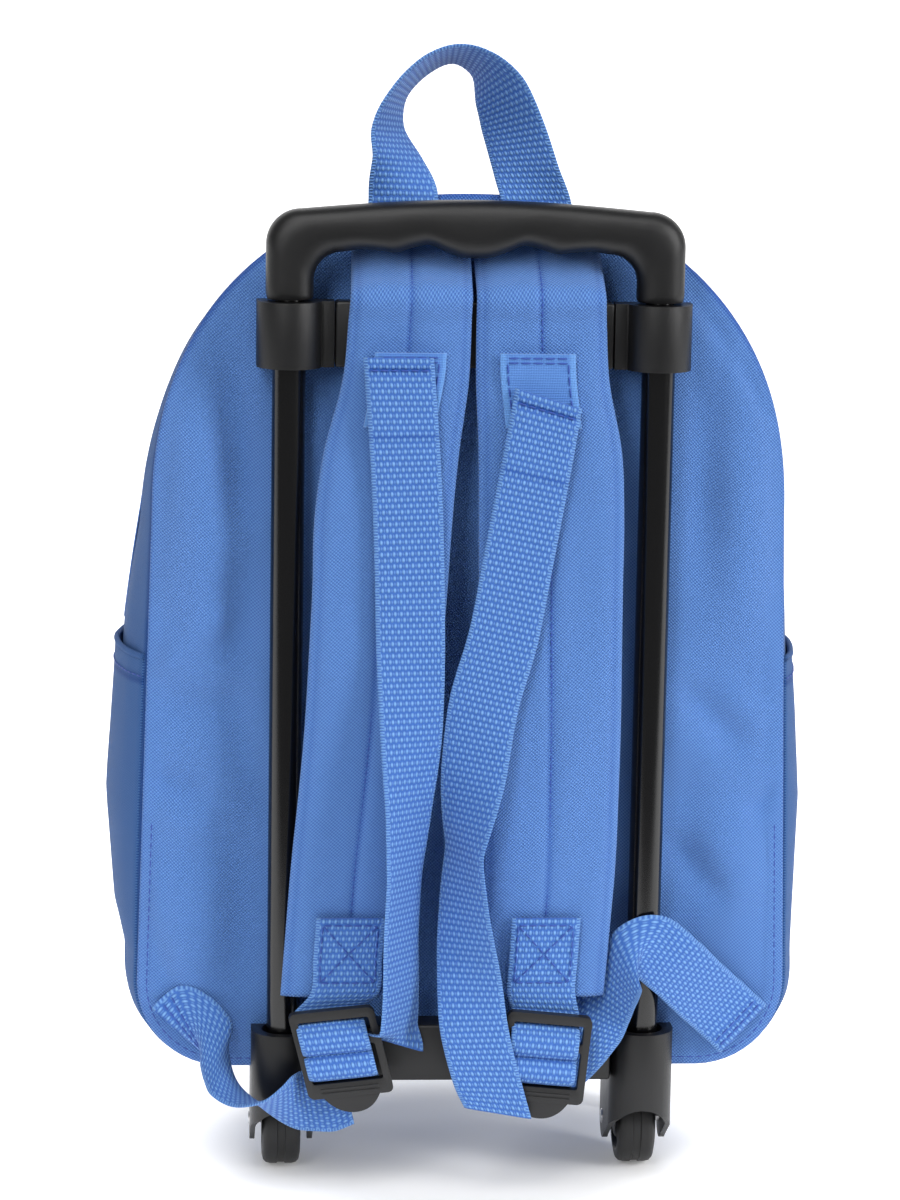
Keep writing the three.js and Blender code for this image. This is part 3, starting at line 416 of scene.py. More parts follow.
def curve_through(stops, count):
    """Centripetal spline through the stops, evenly sampled in its own parameter."""
    p = np.asarray(stops, float)
    p = np.vstack([2 * p[0] - p[1], p, 2 * p[-1] - p[-2]])
    out = []
    for s in np.linspace(0, len(stops) - 1, count):
        k = min(int(s), len(stops) - 2)
        a, b, c, d = p[k:k + 4]
        t0 = 0.0
        t1 = t0 + max(np.linalg.norm(b - a), 1e-6) ** 0.5
        t2 = t1 + max(np.linalg.norm(c - b), 1e-6) ** 0.5
        t3 = t2 + max(np.linalg.norm(d - c), 1e-6) ** 0.5
        t = t1 + (t2 - t1) * (s - k)
        ab = a + (b - a) * (t - t0) / (t1 - t0)
        bc = b + (c - b) * (t - t1) / (t2 - t1)
        cd = c + (d - c) * (t - t2) / (t3 - t2)
        abc = ab + (bc - ab) * (t - t0) / (t2 - t0)
        bcd = bc + (cd - bc) * (t - t1) / (t3 - t1)
        out.append(abc + (bcd - abc) * (t - t1) / (t2 - t1))
    return np.array(out)


def blurred(values, passes):
    """Values along a band, smoothed between their neighbours."""
    v = np.array(values, float)
    for _ in range(passes):
        v[1:-1] = (v[:-2] + 2 * v[1:-1] + v[2:]) / 4
    return v


def lean_turn(lean, turn):
    a, b = math.radians(lean), math.radians(turn)
    return np.array([math.cos(a) * math.cos(b), math.sin(b), math.sin(a) * math.cos(b)])


class Band:
    """A strip of webbing or strap through stations of (place, across, width)."""

    def __init__(self, stations, step=1.0, passes=6):
        places = [s[0] for s in stations]
        rough = sum(np.linalg.norm(np.subtract(b, a)) for a, b in zip(places, places[1:]))
        self.count = max(int(rough / step), 12)
        self.places = curve_through(places, self.count)
        at = np.linspace(0, len(stations) - 1, self.count)
        k = np.minimum(at.astype(int), len(stations) - 2)
        t = (at - k)[:, None]
        across = np.array([s[1] for s in stations], float)
        widths = np.array([s[2] for s in stations], float)
        self.across = blurred(across[k] * (1 - t) + across[k + 1] * t, passes)
        self.width = blurred(widths[k] * (1 - t[:, 0]) + widths[k + 1] * t[:, 0], passes)
        run = np.gradient(self.places, axis=0)
        run /= np.linalg.norm(run, axis=1)[:, None]
        self.across /= np.linalg.norm(self.across, axis=1)[:, None]
        self.out = np.cross(run, self.across)
        self.out /= np.linalg.norm(self.out, axis=1)[:, None]
        steps = np.linalg.norm(np.diff(self.places, axis=0), axis=1)
        self.along = np.concatenate([[0], np.cumsum(steps)])

    def point(self, along, across, lift):
        """Point at a length along, a share of the half width across, and a height off the middle."""
        at = np.interp(along, self.along, np.arange(self.count))
        k = min(int(at), self.count - 2)
        t = at - k
        place, side, out = (mix(v[k], v[k + 1], t) for v in (self.places, self.across, self.out))
        return place + side * across * mix(self.width[k], self.width[k + 1], t) / 2 + out * lift

    def skin(self, name, material, profile, body="bag_and_frame", sides=28):
        """Builds the strip. profile(u, along) gives the heights of its front and back face and the shade
        painted on its front.
        """
        us = np.sin(np.linspace(-math.pi / 2, math.pi / 2, sides + 1))
        rings, laid = [], []
        for i in range(self.count):
            front, back, painted_shade = profile(us, self.along[i])
            half = self.width[i] / 2
            top = self.places[i] + np.outer(us * half, self.across[i]) + np.outer(front, self.out[i])
            low = self.places[i] + np.outer(us * half, self.across[i]) + np.outer(back, self.out[i])
            rings.append(np.vstack([top, low[::-1][1:-1]]))
            u = np.concatenate([us, us[::-1][1:-1]]) * half
            d = np.concatenate([painted_shade, np.zeros(sides - 1)])
            laid.append(np.column_stack([u, np.full(len(u), self.along[i]), d]))
        points, faces = tube_through(rings)
        return piece(name, points, faces, material, body, np.concatenate(laid))


def webbing_profile(thick=WEB_THICK, ripple=0.0, double_end=0.0, stitched_end=0.0):
    """Even webbing with round selvedges. double_end is the length of a turned-over hem at the start."""
    def profile(u, along):
        edge = np.sqrt(np.clip(1 - np.abs(u) ** 8, 0, 1)) * thick / 2
        wave = ripple * np.sin(along * 2.9) * (np.abs(u) > 0.8)
        painted_shade = np.zeros(len(u))
        front, back = edge + wave, -edge + wave
        if double_end:
            hem = 1 - smooth((along - double_end) / 2.0)
            seam = math.exp(-((along - stitched_end) / 1.0) ** 2)
            front = front + edge * 0.9 * hem - edge * 1.1 * seam
            step = math.exp(-((along - double_end - 1) / 0.9) ** 2)
            # Painted shade in the stitched groove and at the step where the hem ends.
            painted_shade = painted_shade + seam * 0.7 * (np.abs(u) < 0.85) + 0.35 * step
        return front, back, painted_shade
    return profile


def thread_beads(name, beads):
    """One piece of thread from many short beads, each given as its rings of points."""
    points, faces = [], []
    for rings in beads:
        bead_points, bead_faces = tube_through(rings)
        faces += [tuple(len(points) + i for i in face) for face in bead_faces]
        points += list(bead_points)
    return piece(name, points, faces, thread)


# Share of a stitch's length and its thickness there
STITCH_FORM = [(0, 0.35), (0.2, 0.9), (0.5, 1.05), (0.8, 0.9), (1, 0.35)]
SIXTHS = angles_round(6)


def stitches(name, paths, length=2.7, gap=0.8, radius=0.32):
    """Sewn thread: one short rounded bead for each stitch, along lines of points."""
    beads = []
    for line in paths:
        line = np.asarray(line, float)
        steps = np.linalg.norm(np.diff(line, axis=0), axis=1)
        at = np.concatenate([[0], np.cumsum(steps)])
        total = at[-1]
        count = max(int(total / (length + gap)), 1)
        pitch = total / count
        for k in range(count):
            ends = [k * pitch + gap / 2, (k + 1) * pitch - gap / 2]
            a, b = (np.array([np.interp(e, at, line[:, c]) for c in range(3)]) for e in ends)
            run = (b - a) / max(np.linalg.norm(b - a), 1e-6)
            side = np.cross(run, [0, 1, 0])
            if np.linalg.norm(side) < 1e-3:
                side = np.cross(run, [0, 0, 1])
            side /= np.linalg.norm(side)
            up = np.cross(side, run)
            beads.append([[mix(a, b, share) + radius * size * (math.cos(t) * side + math.sin(t) * up)
                           for t in SIXTHS] for share, size in STITCH_FORM])
    return thread_beads(name, beads)


# Cloth body

def outline_line():
    """Back panel's outline as (x, z), from the bottom middle, counter-clockwise."""
    half = PANEL_HALF_LOW - PANEL_CORNER
    centre = PANEL_HIGH - PANEL_HALF_HIGH
    right = [(0, PANEL_LOW), (half, PANEL_LOW)]
    right += [(half + PANEL_CORNER * math.sin(a), PANEL_LOW + PANEL_CORNER * (1 - math.cos(a)))
              for a in np.linspace(0, math.pi / 2, 60)[1:]]
    right += [(PANEL_HALF_HIGH * abs(math.cos(a)) ** ARCH_POWER,
               centre + PANEL_HALF_HIGH * math.sin(a) ** ARCH_POWER)
              for a in np.linspace(0, math.pi / 2, 160)]
    right[-1] = (0, PANEL_HIGH)
    left = [(-x, z) for x, z in reversed(right[:-1])]
    return np.array(right + left)


_line = outline_line()
_lengths = np.concatenate([[0], np.cumsum(np.linalg.norm(np.diff(_line, axis=0), axis=1))])
OUTLINE = _lengths[-1]


def outline_at(share):
    """Point and outward direction of the outline at shares of its length."""
    s = (np.asarray(share, float) % 1) * OUTLINE
    point = np.column_stack([np.interp(s, _lengths, _line[:, c]) for c in (0, 1)])
    step = 0.002 * OUTLINE
    later, sooner = np.minimum(s + step, OUTLINE), np.maximum(s - step, 0)
    ahead = np.column_stack([np.interp(later, _lengths, _line[:, c]) for c in (0, 1)])
    behind = np.column_stack([np.interp(sooner, _lengths, _line[:, c]) for c in (0, 1)])
    run = ahead - behind
    run /= np.linalg.norm(run, axis=1)[:, None]
    return point, np.column_stack([run[:, 1], -run[:, 0]])


def height_share(z):
    return np.clip((z - PANEL_LOW) / (PANEL_HIGH - PANEL_LOW), 0, 1)


BULGE_HEIGHTS = [0, 0.12, 0.3, 0.5, 0.63, 0.75, 1]
BULGES = [0.5, 0.6, 0.9, 0.7, 0.45, 0.32, 0.2]
# How much fuller each side of the stuffed bag stands than the even bulge, by height
FULLER_HEIGHTS = [40, 66, 80, 94, 129, 170, 193, 257, 290, 320, 361]
FULLER_LEFT = [-1, -2, -2, 1.4, 2.8, 3.2, 3.0, 2.2, 1.0, 0, 0]
FULLER_RIGHT = [0, 0.8, 0, 0, 0, -0.8, -1.8, -1.2, 0, 0, 0]


def inset_at(z):
    return mix(FRONT_INSET, FRONT_INSET_TOP, smooth(height_share(z) * 2 - 1))


def panel_face(z):
    return PANEL_FRONT + TOP_LEAN * smooth((z - (PANEL_HIGH - TOP_LEAN_HEIGHT)) / TOP_LEAN_HEIGHT)


def back_seam(z):
    return panel_face(z) + EDGE_ROLL + CLOTH


def front_seam(z):
    return PANEL_FRONT + mix(BAG_DEPTH, BAG_DEPTH_TOP, smooth(height_share(z)))


FORK_SHARE = (FORK_BACK + 1 - back_seam(PANEL_LOW)) / (front_seam(PANEL_LOW) - back_seam(PANEL_LOW))


def side_points(share, depth, lift=0.0):
    """Outer face of the side wall at one share of the outline and many shares of the depth."""
    point, outward = outline_at([share])
    (x, z), (ox, oz) = point[0], outward[0]
    bulge = SIDE_BULGE * np.interp(height_share(z), BULGE_HEIGHTS, BULGES)
    bulge += np.interp(z, FULLER_HEIGHTS, FULLER_RIGHT if x > 0 else FULLER_LEFT) * smooth(abs(x) / 60)
    d = np.asarray(depth, float)
    beyond = np.maximum(d - FORK_SHARE, 0) / (1 - FORK_SHARE)
    side = bulge * np.sin(np.pi * np.clip(d, 0, 1)) ** 0.8 - inset_at(z) * d
    sag = BOTTOM_SAG * np.sin(np.pi * beyond) ** 0.8 - FRONT_INSET * beyond
    out = mix(side, sag, smooth(-oz * 1.4 - 0.3)) + lift
    y = mix(back_seam(z), front_seam(z), d)
    return np.column_stack([x + ox * out, y, z + oz * out])


# Soft folds of the back panel: ends (x, z), width and depth in millimetres, hollows positive
PANEL_FOLDS = [
    {"from": (-87, 312), "to": (-80, 232), "width": 8, "depth": 5.0},
    {"from": (-80, 240), "to": (-83, 186), "width": 9, "depth": 4.0},
    {"from": (-100, 290), "to": (-96, 205), "width": 12, "depth": -2.6},
    {"from": (-119, 184), "to": (-84, 214), "width": 6, "depth": -2.4},
    {"from": (-112, 172), "to": (-74, 182), "width": 8, "depth": 2.6},
    {"from": (-86, 180), "to": (-72, 128), "width": 8, "depth": 3.0},
    {"from": (-118, 150), "to": (-94, 142), "width": 5, "depth": 2.4},
    {"from": (-112, 138), "to": (-92, 128), "width": 7, "depth": -1.6},
    {"from": (-80, 140), "to": (-79, 60), "width": 11, "depth": 3.4},
    {"from": (-102, 118), "to": (-98, 72), "width": 13, "depth": -2.0},
    {"from": (-117, 96), "to": (-106, 66), "width": 5, "depth": 1.8},
    {"from": (76, 340), "to": (96, 304), "width": 5, "depth": 2.6},
    {"from": (96, 306), "to": (110, 284), "width": 4, "depth": 2.2},
    {"from": (84, 318), "to": (86, 212), "width": 8, "depth": 3.4},
    {"from": (97, 290), "to": (101, 196), "width": 11, "depth": -2.4},
    {"from": (77, 186), "to": (104, 158), "width": 6, "depth": 2.6},
    {"from": (92, 184), "to": (112, 166), "width": 7, "depth": -1.6},
    {"from": (104, 134), "to": (117, 146), "width": 4, "depth": 2.0},
    {"from": (80, 160), "to": (80, 92), "width": 9, "depth": 3.0},
    {"from": (74, 130), "to": (98, 100), "width": 6, "depth": 2.4},
    {"from": (96, 140), "to": (104, 96), "width": 10, "depth": -1.8},
    {"from": (-12, 240), "to": (-6, 70), "width": 30, "depth": 9.0},
]


def fold_depth(x, z):
    """How far soft folds press the cloth in at a point of the panel."""
    total = 0.0
    for fold in PANEL_FOLDS:
        (ax, az), (bx, bz) = fold["from"], fold["to"]
        run = np.array([bx - ax, bz - az], float)
        length = np.linalg.norm(run)
        run /= length
        t = (x - ax) * run[0] + (z - az) * run[1]
        off = (x - ax) * -run[1] + (z - az) * run[0]
        ends = smooth(t / (0.4 * length) + 0.2) * smooth((length - t) / (0.4 * length) + 0.2)
        total += fold["depth"] * ends * math.exp(-(off / fold["width"]) ** 2)
    waves = noise.noise(Vector((x * 0.022, z * 0.011, 3.0))) * 1.6
    waves += noise.noise(Vector(((x + z) * 0.03, (x - z) * 0.012, 9.0))) * 0.8
    return total + waves


def back_cloth():
    """Panel behind the straps, gathered in soft folds and rolled over at its seam."""
    around, rings = 260, 58
    shares = np.arange(around) / around
    edge, _ = outline_at(shares)
    centre = np.array([0, (PANEL_LOW + PANEL_HIGH) / 2])
    scales = np.concatenate([np.linspace(0.04, 0.9, rings - 14), np.linspace(0.905, 1, 14)])
    front, back, laid = [], [], []
    for scale in scales:
        place = centre + (edge - centre) * scale
        rows = []
        for x, z in place:
            free = smooth((1 - scale) / 0.07)
            y = panel_face(z) + EDGE_ROLL * scale ** 14
            rows.append((x, y + 0.5 + free * (0.4 + 1.1 * fold_depth(x, z)), z))
        front.append(rows)
        back.append([(x, y + CLOTH * 0.8, z) for x, y, z in rows])
        # Painted shade along the rolled seam, strongest over the upper arch.
        painted_shade = math.exp(-((1 - scale) * 120 / 1.0) ** 2)
        laid.append([(x, z, painted_shade * (0.15 + 0.85 * float(smooth((z - 285) / 40)))) for x, y, z in rows])
    points, faces = tube_through(front + back[::-1])
    return piece("back_cloth", points, faces, cloth, laid=np.concatenate(laid + laid[::-1]))


def wall_relief(share, depth):
    """Ripples of the side wall, strongest in the middle of the depth."""
    s, d = share * OUTLINE, depth * BAG_DEPTH
    ripple = noise.noise(Vector((s * 0.02, d * 0.035, 5.0))) * 1.5
    ripple += noise.noise(Vector((s * 0.012 + d * 0.05, s * 0.03 - d * 0.02, 1.0))) * 0.8
    return (ripple - 0.7) * math.sin(math.pi * min(max(depth, 0), 1))


def there_and_back(front, back):
    """Rings that run along a front row and return along the back row behind it."""
    return [np.vstack([f, b[::-1]]) for f, b in zip(front, back)]


def side_cloth():
    """Wall between the two panels, all the way round."""
    around, across = 300, 34
    depths = np.linspace(0, 1, across)
    front, back, laid = [], [], []
    for k in range(around):
        share = k / around
        lift = np.array([wall_relief(share, d) for d in depths])
        front.append(side_points(share, depths, lift))
        back.append(side_points(share, depths, lift - CLOTH * 0.8))
        # Painted shade along both seams of the wall.
        painted_shade = np.exp(-(np.minimum(depths, 1 - depths) * BAG_DEPTH / 1.2) ** 2) * 0.7
        laid.append(np.column_stack([depths * BAG_DEPTH, np.full(across, share * OUTLINE), painted_shade]))
    points = np.concatenate(there_and_back(front, back))
    faces = ring_faces(around, across * 2, closed=True)
    lay = np.concatenate(there_and_back(laid, laid))
    return piece("side_cloth", points, faces, wall_cloth_painted_shade, laid=lay, sharp=60)


def far_cloth():
    """Domed panel on the far side."""
    around, rings = 220, 40
    shares = np.arange(around) / around
    edge, outward = outline_at(shares)
    edge = edge - outward * inset_at(edge[:, 1])[:, None]
    centre = np.array([0, (PANEL_LOW + PANEL_HIGH) / 2])
    front, back, laid = [], [], []
    for scale in np.linspace(0.04, 1, rings):
        place = centre + (edge - centre) * scale
        rows = []
        for x, z in place:
            relief = noise.noise(Vector((x * 0.02, z * 0.014, 20.0))) * 2.2 * smooth((1 - scale) / 0.2)
            y = front_seam(z) + 0.3 + FRONT_DOME * (1 - scale ** 2.6) + relief
            rows.append((x, y, z))
        front.append(rows)
        back.append([(x, y + CLOTH * 0.8, z) for x, y, z in rows])
        # Painted shade along the seam at the panel's edge.
        laid.append([(x, z, 0.7 * math.exp(-((1 - scale) * 110 / 1.5) ** 2)) for x, y, z in rows])
    points, faces = tube_through(front + back[::-1])
    lay = np.concatenate(laid + laid[::-1])
    return piece("far_cloth", points, faces, cloth, laid=lay)


def seam_welt(name):
    """Turned seam allowance that stands up as a narrow rounded edge round the far panel."""
    shares = np.linspace(0, 1, 260)
    edge, outward = outline_at(shares)
    rings, laid = [], []
    for k, ((x, z), (ox, oz)) in enumerate(zip(edge, outward)):
        ends = min(k, len(shares) - 1 - k) / 24
        size = mix(0.25, 1.0, float(smooth(ends)))
        y = front_seam(z) + 0.2
        inset = float(inset_at(z))
        ring = []
        for a in angles_round(12):
            out = -inset - 0.4 + 2.0 * size * math.cos(a)
            ring.append((x + ox * out, y + 1.45 * size * math.sin(a), z + oz * out))
        rings.append(ring)
        laid.append([(i * 0.8, shares[k] * OUTLINE, 0.0) for i in range(12)])
    points, faces = tube_through(rings)
    return piece(name, points, faces, cloth, laid=np.concatenate(laid))


def share_at(height):
    low, high = 0.0, 0.5
    for _ in range(40):
        middle = (low + high) / 2
        if outline_at([middle])[0][0][1] < height:
            low = middle
        else:
            high = middle
    return low


# Drop of the pocket's row of stitches under its mouth
HEM = 8


def pocket_cloth(side, name):
    """Open side pocket that follows the wall, with a rolled hem and a row of stitches under it."""
    low, high = share_at(POCKET_LOW) - 0.012, share_at(POCKET_HIGH)
    along, across, height = 90, 34, 150
    depths = np.linspace(0.015, 0.955, across)
    front, back, laid, hem, seam = [], [], [], [], []
    for up in np.linspace(0, 1, along):
        share = mix(low, high, up)
        share = share if side > 0 else 1 - share
        mouth = 0.7 * up ** 2 * np.sin(np.pi * (depths - depths[0]) / (depths[-1] - depths[0]))
        slack = np.array([noise.noise(Vector((up * 5.0, d * 6.0, 30.0 + side))) for d in depths])
        lift = 1.75 + mouth + slack * 0.5 * np.sin(np.pi * depths)
        lift = np.maximum(lift, 1.5) * (0.35 + 0.65 * smooth(depths / 0.14))
        front.append(side_points(share, depths, lift))
        back.append(side_points(share, depths, lift - 1.3))
        # Painted shade along the row of stitches under the hem.
        painted_shade = 0.6 * math.exp(-((1 - up) * height - HEM) ** 2 / 1.2)
        row = [depths * BAG_DEPTH, np.full(across, up * height), np.full(across, painted_shade)]
        laid.append(np.column_stack(row))
        if up == 1.0:
            hem = side_points(share, depths, lift - 0.6)
        if not len(seam) and up >= 1 - HEM / height:
            seam = side_points(share, depths, lift + 0.15)
    points, faces = tube_through(there_and_back(front, back))
    pocket = piece(name, points, faces, wall_cloth_painted_shade, laid=np.concatenate(there_and_back(laid, laid)))
    rolls = []
    for k, p in enumerate(hem):
        run = hem[min(k + 1, across - 1)] - hem[max(k - 1, 0)]
        run /= np.linalg.norm(run)
        up_way = np.array([0, 0, 1.0])
        out = np.cross(run, up_way)
        out /= np.linalg.norm(out)
        rolls.append([p + 1.15 * (math.cos(a) * out + math.sin(a) * up_way)
                      for a in angles_round(12)])
    roll_points, roll_faces = tube_through(rolls)
    lay = np.concatenate([[(i * 0.6, k * 2.9, 0) for i in range(12)] for k in range(across)])
    hem_piece = piece(name + "_hem", roll_points, roll_faces, wall_cloth_painted_shade, laid=lay)
    sewn = stitches(name + "_stitches", [seam])
    return pocket, hem_piece, sewn


# Hard parts

def cutter_from(name, points, faces):
    mesh = bpy.data.meshes.new(name)
    mesh.from_pydata([tuple(p) for p in placed(points)], [], [tuple(int(i) for i in f) for f in faces])
    made = bpy.data.objects.new(name, mesh)
    bpy.context.scene.collection.objects.link(made)
    return made


def outward_normals(target):
    work = bmesh.new()
    work.from_mesh(target.data)
    bmesh.ops.remove_doubles(work, verts=work.verts, dist=1e-7)
    bmesh.ops.recalc_face_normals(work, faces=work.faces)
    work.to_mesh(target.data)
    work.free()


def joined(target, others, mode):
    """Applies unions, cuts or an intersection to one object, then clears the tools away."""
    for other in others:
        for each in (target, other):
            outward_normals(each)
        step = target.modifiers.new("join", "BOOLEAN")
        step.operation = mode
        step.solver = "EXACT"
        step.object = other
        graph = bpy.context.evaluated_depsgraph_get()
        made = bpy.data.meshes.new_from_object(target.evaluated_get(graph))
        target.modifiers.clear()
        target.data = made
        bpy.data.objects.remove(other)
    return target


def upright_lie(u, v, w):
    return (u, v, w)


def side_lie(u, v, w):
    return (w, u, v)


def front_lie(u, v, w):
    return (u, w, v)


def prism(name, shape, low, high, lie=upright_lie):
    """Solid between two copies of a flat shape; lie turns (u, v, w) into a place."""
    shape = [tuple(p) for p in shape]
    n = len(shape)
    points = [lie(u, v, low) for u, v in shape] + [lie(u, v, high) for u, v in shape]
    faces = [list(range(n))[::-1], list(range(n, 2 * n))]
    faces += [[i, (i + 1) % n, n + (i + 1) % n, n + i] for i in range(n)]
    return cutter_from(name, points, faces)


def circle(radius, centre=(0, 0), count=72):
    return [(centre[0] + radius * math.cos(a), centre[1] + radius * math.sin(a))
            for a in angles_round(count)]


def arc(centre, radius, first, last, count=16):
    return [(centre[0] + radius * math.cos(a), centre[1] + radius * math.sin(a))
            for a in np.linspace(math.radians(first), math.radians(last), count)]


def finished(made, material, body="bag_and_frame", bevel=0.5, angle=35):
    """Rounds the edges of a moulded part and gives it its finish."""
    step = made.modifiers.new("edge", "BEVEL")
    step.width = bevel * MM
    step.segments = 3
    step.limit_method = "ANGLE"
    step.angle_limit = math.radians(angle)
    made.data.polygons.foreach_set("use_smooth", [True] * len(made.data.polygons))
    graph = bpy.context.evaluated_depsgraph_get()
    mesh = bpy.data.meshes.new_from_object(made.evaluated_get(graph))
    made.modifiers.clear()
    made.data = mesh
    made.data.set_sharp_from_angle(angle=math.radians(angle))
    made.data.materials.clear()
    made.data.materials.append(material)
    made.data.polygons.foreach_set("material_index", [0] * len(made.data.polygons))
    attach(made, body)
    return made


def mirrored(half):
    """A profile and its mirror image beyond the middle."""
    return half + [(radius, -along) for radius, along in reversed(half)]


def lathe(name, profile, place, material, body, count=72, sharp=35):
    """Body of revolution; the profile lists (radius, along) from end to end."""
    rings = []
    for radius, along in profile:
        rings.append([place(radius * math.cos(a), radius * math.sin(a), along)
                      for a in angles_round(count)])
    points, faces = tube_through(rings)
    return piece(name, points, faces, material, body=body, sharp=sharp)


def round_front_plan(radius, back):
    """Plan view of a sleeve: half round ahead of the tube axis and square behind it."""
    front = [(radius * math.cos(a), radius * math.sin(a)) for a in np.linspace(math.pi, 2 * math.pi, 48)]
    return front + [(radius, back), (-radius, back)]


def slab(name, x, y, z):
    """Block between two limits on each axis."""
    return prism(name, [(x[0], y[0]), (x[1], y[0]), (x[1], y[1]), (x[0], y[1])], z[0], z[1])


def shifted(shape, dx):
    return [(x + dx, y) for x, y in shape]


def upper_sleeve(side, name):
    x = side * TUBE_X
    plan = shifted(round_front_plan(SLEEVE_RADIUS, FRAME_BACK), x)
    body = prism(name, plan, SLEEVE_LOW, SLEEVE_HIGH)
    inner = x - side * 16.0
    shape = [(x - side * 2, -2.0), (inner, -2.0), (inner, FRAME_BACK), (x - side * 2, FRAME_BACK)]
    boss = prism("boss", shape, SLEEVE_LOW, SLEEVE_HIGH)
    throat = prism("throat", circle(5.4, (x, 0)), SLEEVE_HIGH - 1.2, SLEEVE_HIGH + 2)
    bore = prism("bore", circle(6.2, (x, 0)), SLEEVE_LOW - 2, SLEEVE_HIGH - 2.2)
    joined(body, [boss], "UNION")
    parting = prism("parting", [(x - side * 12.2, -2.6), (x - side * 11.7, -2.6), (x - side * 11.7, -1.5),
                                (x - side * 12.2, -1.5)], SLEEVE_LOW - 1, SLEEVE_HIGH + 1)
    joined(body, [throat, bore, parting], "DIFFERENCE")
    return finished(body, plastic, bevel=0.8)


def wheel_housing(side, name):
    x = side * TUBE_X
    profile = [(-SLEEVE_RADIUS, HOUSING_TOP), (-SLEEVE_RADIUS, 26.4)]
    profile += arc((AXLE_BACK, WHEEL_RADIUS), 8.0, -135, 0, 20)
    profile += [(FORK_BACK, FORK_TOP), (FRAME_BACK, FORK_TOP), (FRAME_BACK, HOUSING_TOP)]
    body = prism(name, profile, x - SLEEVE_RADIUS, x + SLEEVE_RADIUS, side_lie)
    plan = prism("plan", shifted(round_front_plan(SLEEVE_RADIUS, 30), x), -2, HOUSING_TOP + 2)
    joined(body, [plan], "INTERSECT")
    half, spring = FORK_ARCH_HALF, FORK_ARCH_TOP - FORK_ARCH_HALF
    arch = [(x - half, -3), (x + half, -3), (x + half, spring)]
    arch += arc((x, spring), half, 0, 180, 32)
    cuts = [
        prism("front_arch", arch, -SLEEVE_RADIUS - 2, AXLE_BACK, front_lie),
        prism("well", circle(18.4, (AXLE_BACK, WHEEL_RADIUS), 96), x - half, x + half, side_lie),
        prism("recess", circle(7.8, (x, 0)), HOUSING_TOP - 3, HOUSING_TOP + 2),
        prism("socket", circle(6.3, (x, 0)), HOUSING_TOP - 13, HOUSING_TOP + 1),
    ]
    joined(body, cuts, "DIFFERENCE")
    return finished(body, plastic, bevel=0.7)


def crossbar(name, half, front, low, high):
    body = slab(name, (-half, half), (-front, FRAME_BACK), (low, high))
    return finished(body, plastic, bevel=1.0)


def upright_at(x, y=0.0):
    """Stands a lathed part at a place on the floor plan."""
    return lambda u, v, w: (x + u, y + v, w)


def on_axle(side):
    """Lays a lathed part on the wheel axle of one side."""
    x = side * TUBE_X
    return lambda u, v, w: (x + w, AXLE_BACK + u, WHEEL_RADIUS + v)


def tube(name, x, radius, low, high, body, wall=None):
    profile = [(radius - 0.5, low), (radius, low + 0.5), (radius, high - 0.5), (radius - 0.4, high)]
    if wall:
        profile += [(radius - wall, high), (radius - wall, low), (radius - 0.5, low)]
    return lathe(name, profile, upright_at(x), tube_coat, body, count=64)


WHEEL_HALF = 7.15
# Radius and distance inward from the wheel's side, from the hub to the tread
WHEEL_SIDE = [(2.3, 0.8), (6.8, 0), (7.6, 0.4), (8.6, 1.9), (11.9, 1.9), (12.6, 0.3), (13.4, 0.1),
              (15.6, 0.6), (16.6, 1.6), (WHEEL_RADIUS, 3.2)]
# Radius and place along of the groove in the middle of the tread
WHEEL_GROOVE = [(WHEEL_RADIUS, -1.6), (16.6, -1.25)]


def wheel(side, name):
    rim = [(radius, -WHEEL_HALF + inward) for radius, inward in WHEEL_SIDE]
    body = "wheel_" + ("right" if side > 0 else "left")
    return lathe(name, mirrored(rim + WHEEL_GROOVE), on_axle(side), rubber, body, count=112, sharp=40)


def axle(side, name):
    profile = mirrored([(0.6, -12.3), (2.3, -12.1), (3.0, -11.4), (3.0, -11.1), (2.0, -11.0)])
    return lathe(name, profile, on_axle(side), metal, "bag_and_frame", count=32)


def foot(side, name):
    profile = [(5.2, 0.0), (6.1, 0.35), (6.5, 1.2), (7.4, 30.6), (8.1, 31.2), (8.5, 31.8), (8.5, 33.4),
               (8.1, 33.8)]
    return lathe(name, profile, upright_at(side * FOOT_X, FOOT_BACK), plastic, "bag_and_frame", count=56)


GRIP_HALF, GRIP_LEG, GRIP_DEPTH = 74.5, 17.0, 16.4
GRIP_LOW, GRIP_SHOULDER, GRIP_CORNER = 325.3, 357.1, 12.5
GRIP_CROWN, GRIP_BAR = 3.6, 15.1
# Finger waves under the bar: share of the half span and drop as a share of the bar's height
GRIP_WAVES = [(1, 0), (0.86, -0.03), (0.72, 0.03), (0.6, 0.09), (0.48, 0.0), (0.36, -0.06), (0.22, 0.12),
              (0.1, 0.25), (0, 0.27)]


def grip_sections():
    """Outer and inner edge (x, z) of each section from the foot of the right leg to the middle."""
    inner = GRIP_HALF - GRIP_LEG
    leg_top = GRIP_SHOULDER - GRIP_CORNER
    inside_corner = GRIP_CORNER * 0.8
    inside_top = GRIP_SHOULDER - GRIP_BAR
    rows = []
    for t in np.linspace(0, 1, 12):
        rows.append([(GRIP_HALF, mix(GRIP_LOW, leg_top, t)),
                     (inner, mix(GRIP_LOW, inside_top - inside_corner, t))])
    for t in np.linspace(0, 1, 26)[1:]:
        a = t * math.pi / 2
        across, up = 1 - math.cos(a), 1 - math.sin(a)
        rows.append([(GRIP_HALF - GRIP_CORNER * across, leg_top + GRIP_CORNER * math.sin(a)),
                     (inner - inside_corner * across, inside_top - inside_corner * up)])
    outer_span, inner_span = GRIP_HALF - GRIP_CORNER, inner - inside_corner
    stops = np.array(GRIP_WAVES, float)
    fine = curve_through(np.column_stack([stops, np.zeros(len(stops))]), 60)
    for at, drop, _ in fine[1:]:
        at = max(at, 0.0)
        rise = GRIP_CROWN * math.cos(at * math.pi / 2)
        rows.append([(outer_span * at, GRIP_SHOULDER + rise),
                     (inner_span * at, inside_top + rise * 0.6 - GRIP_BAR * drop)])
    return rows


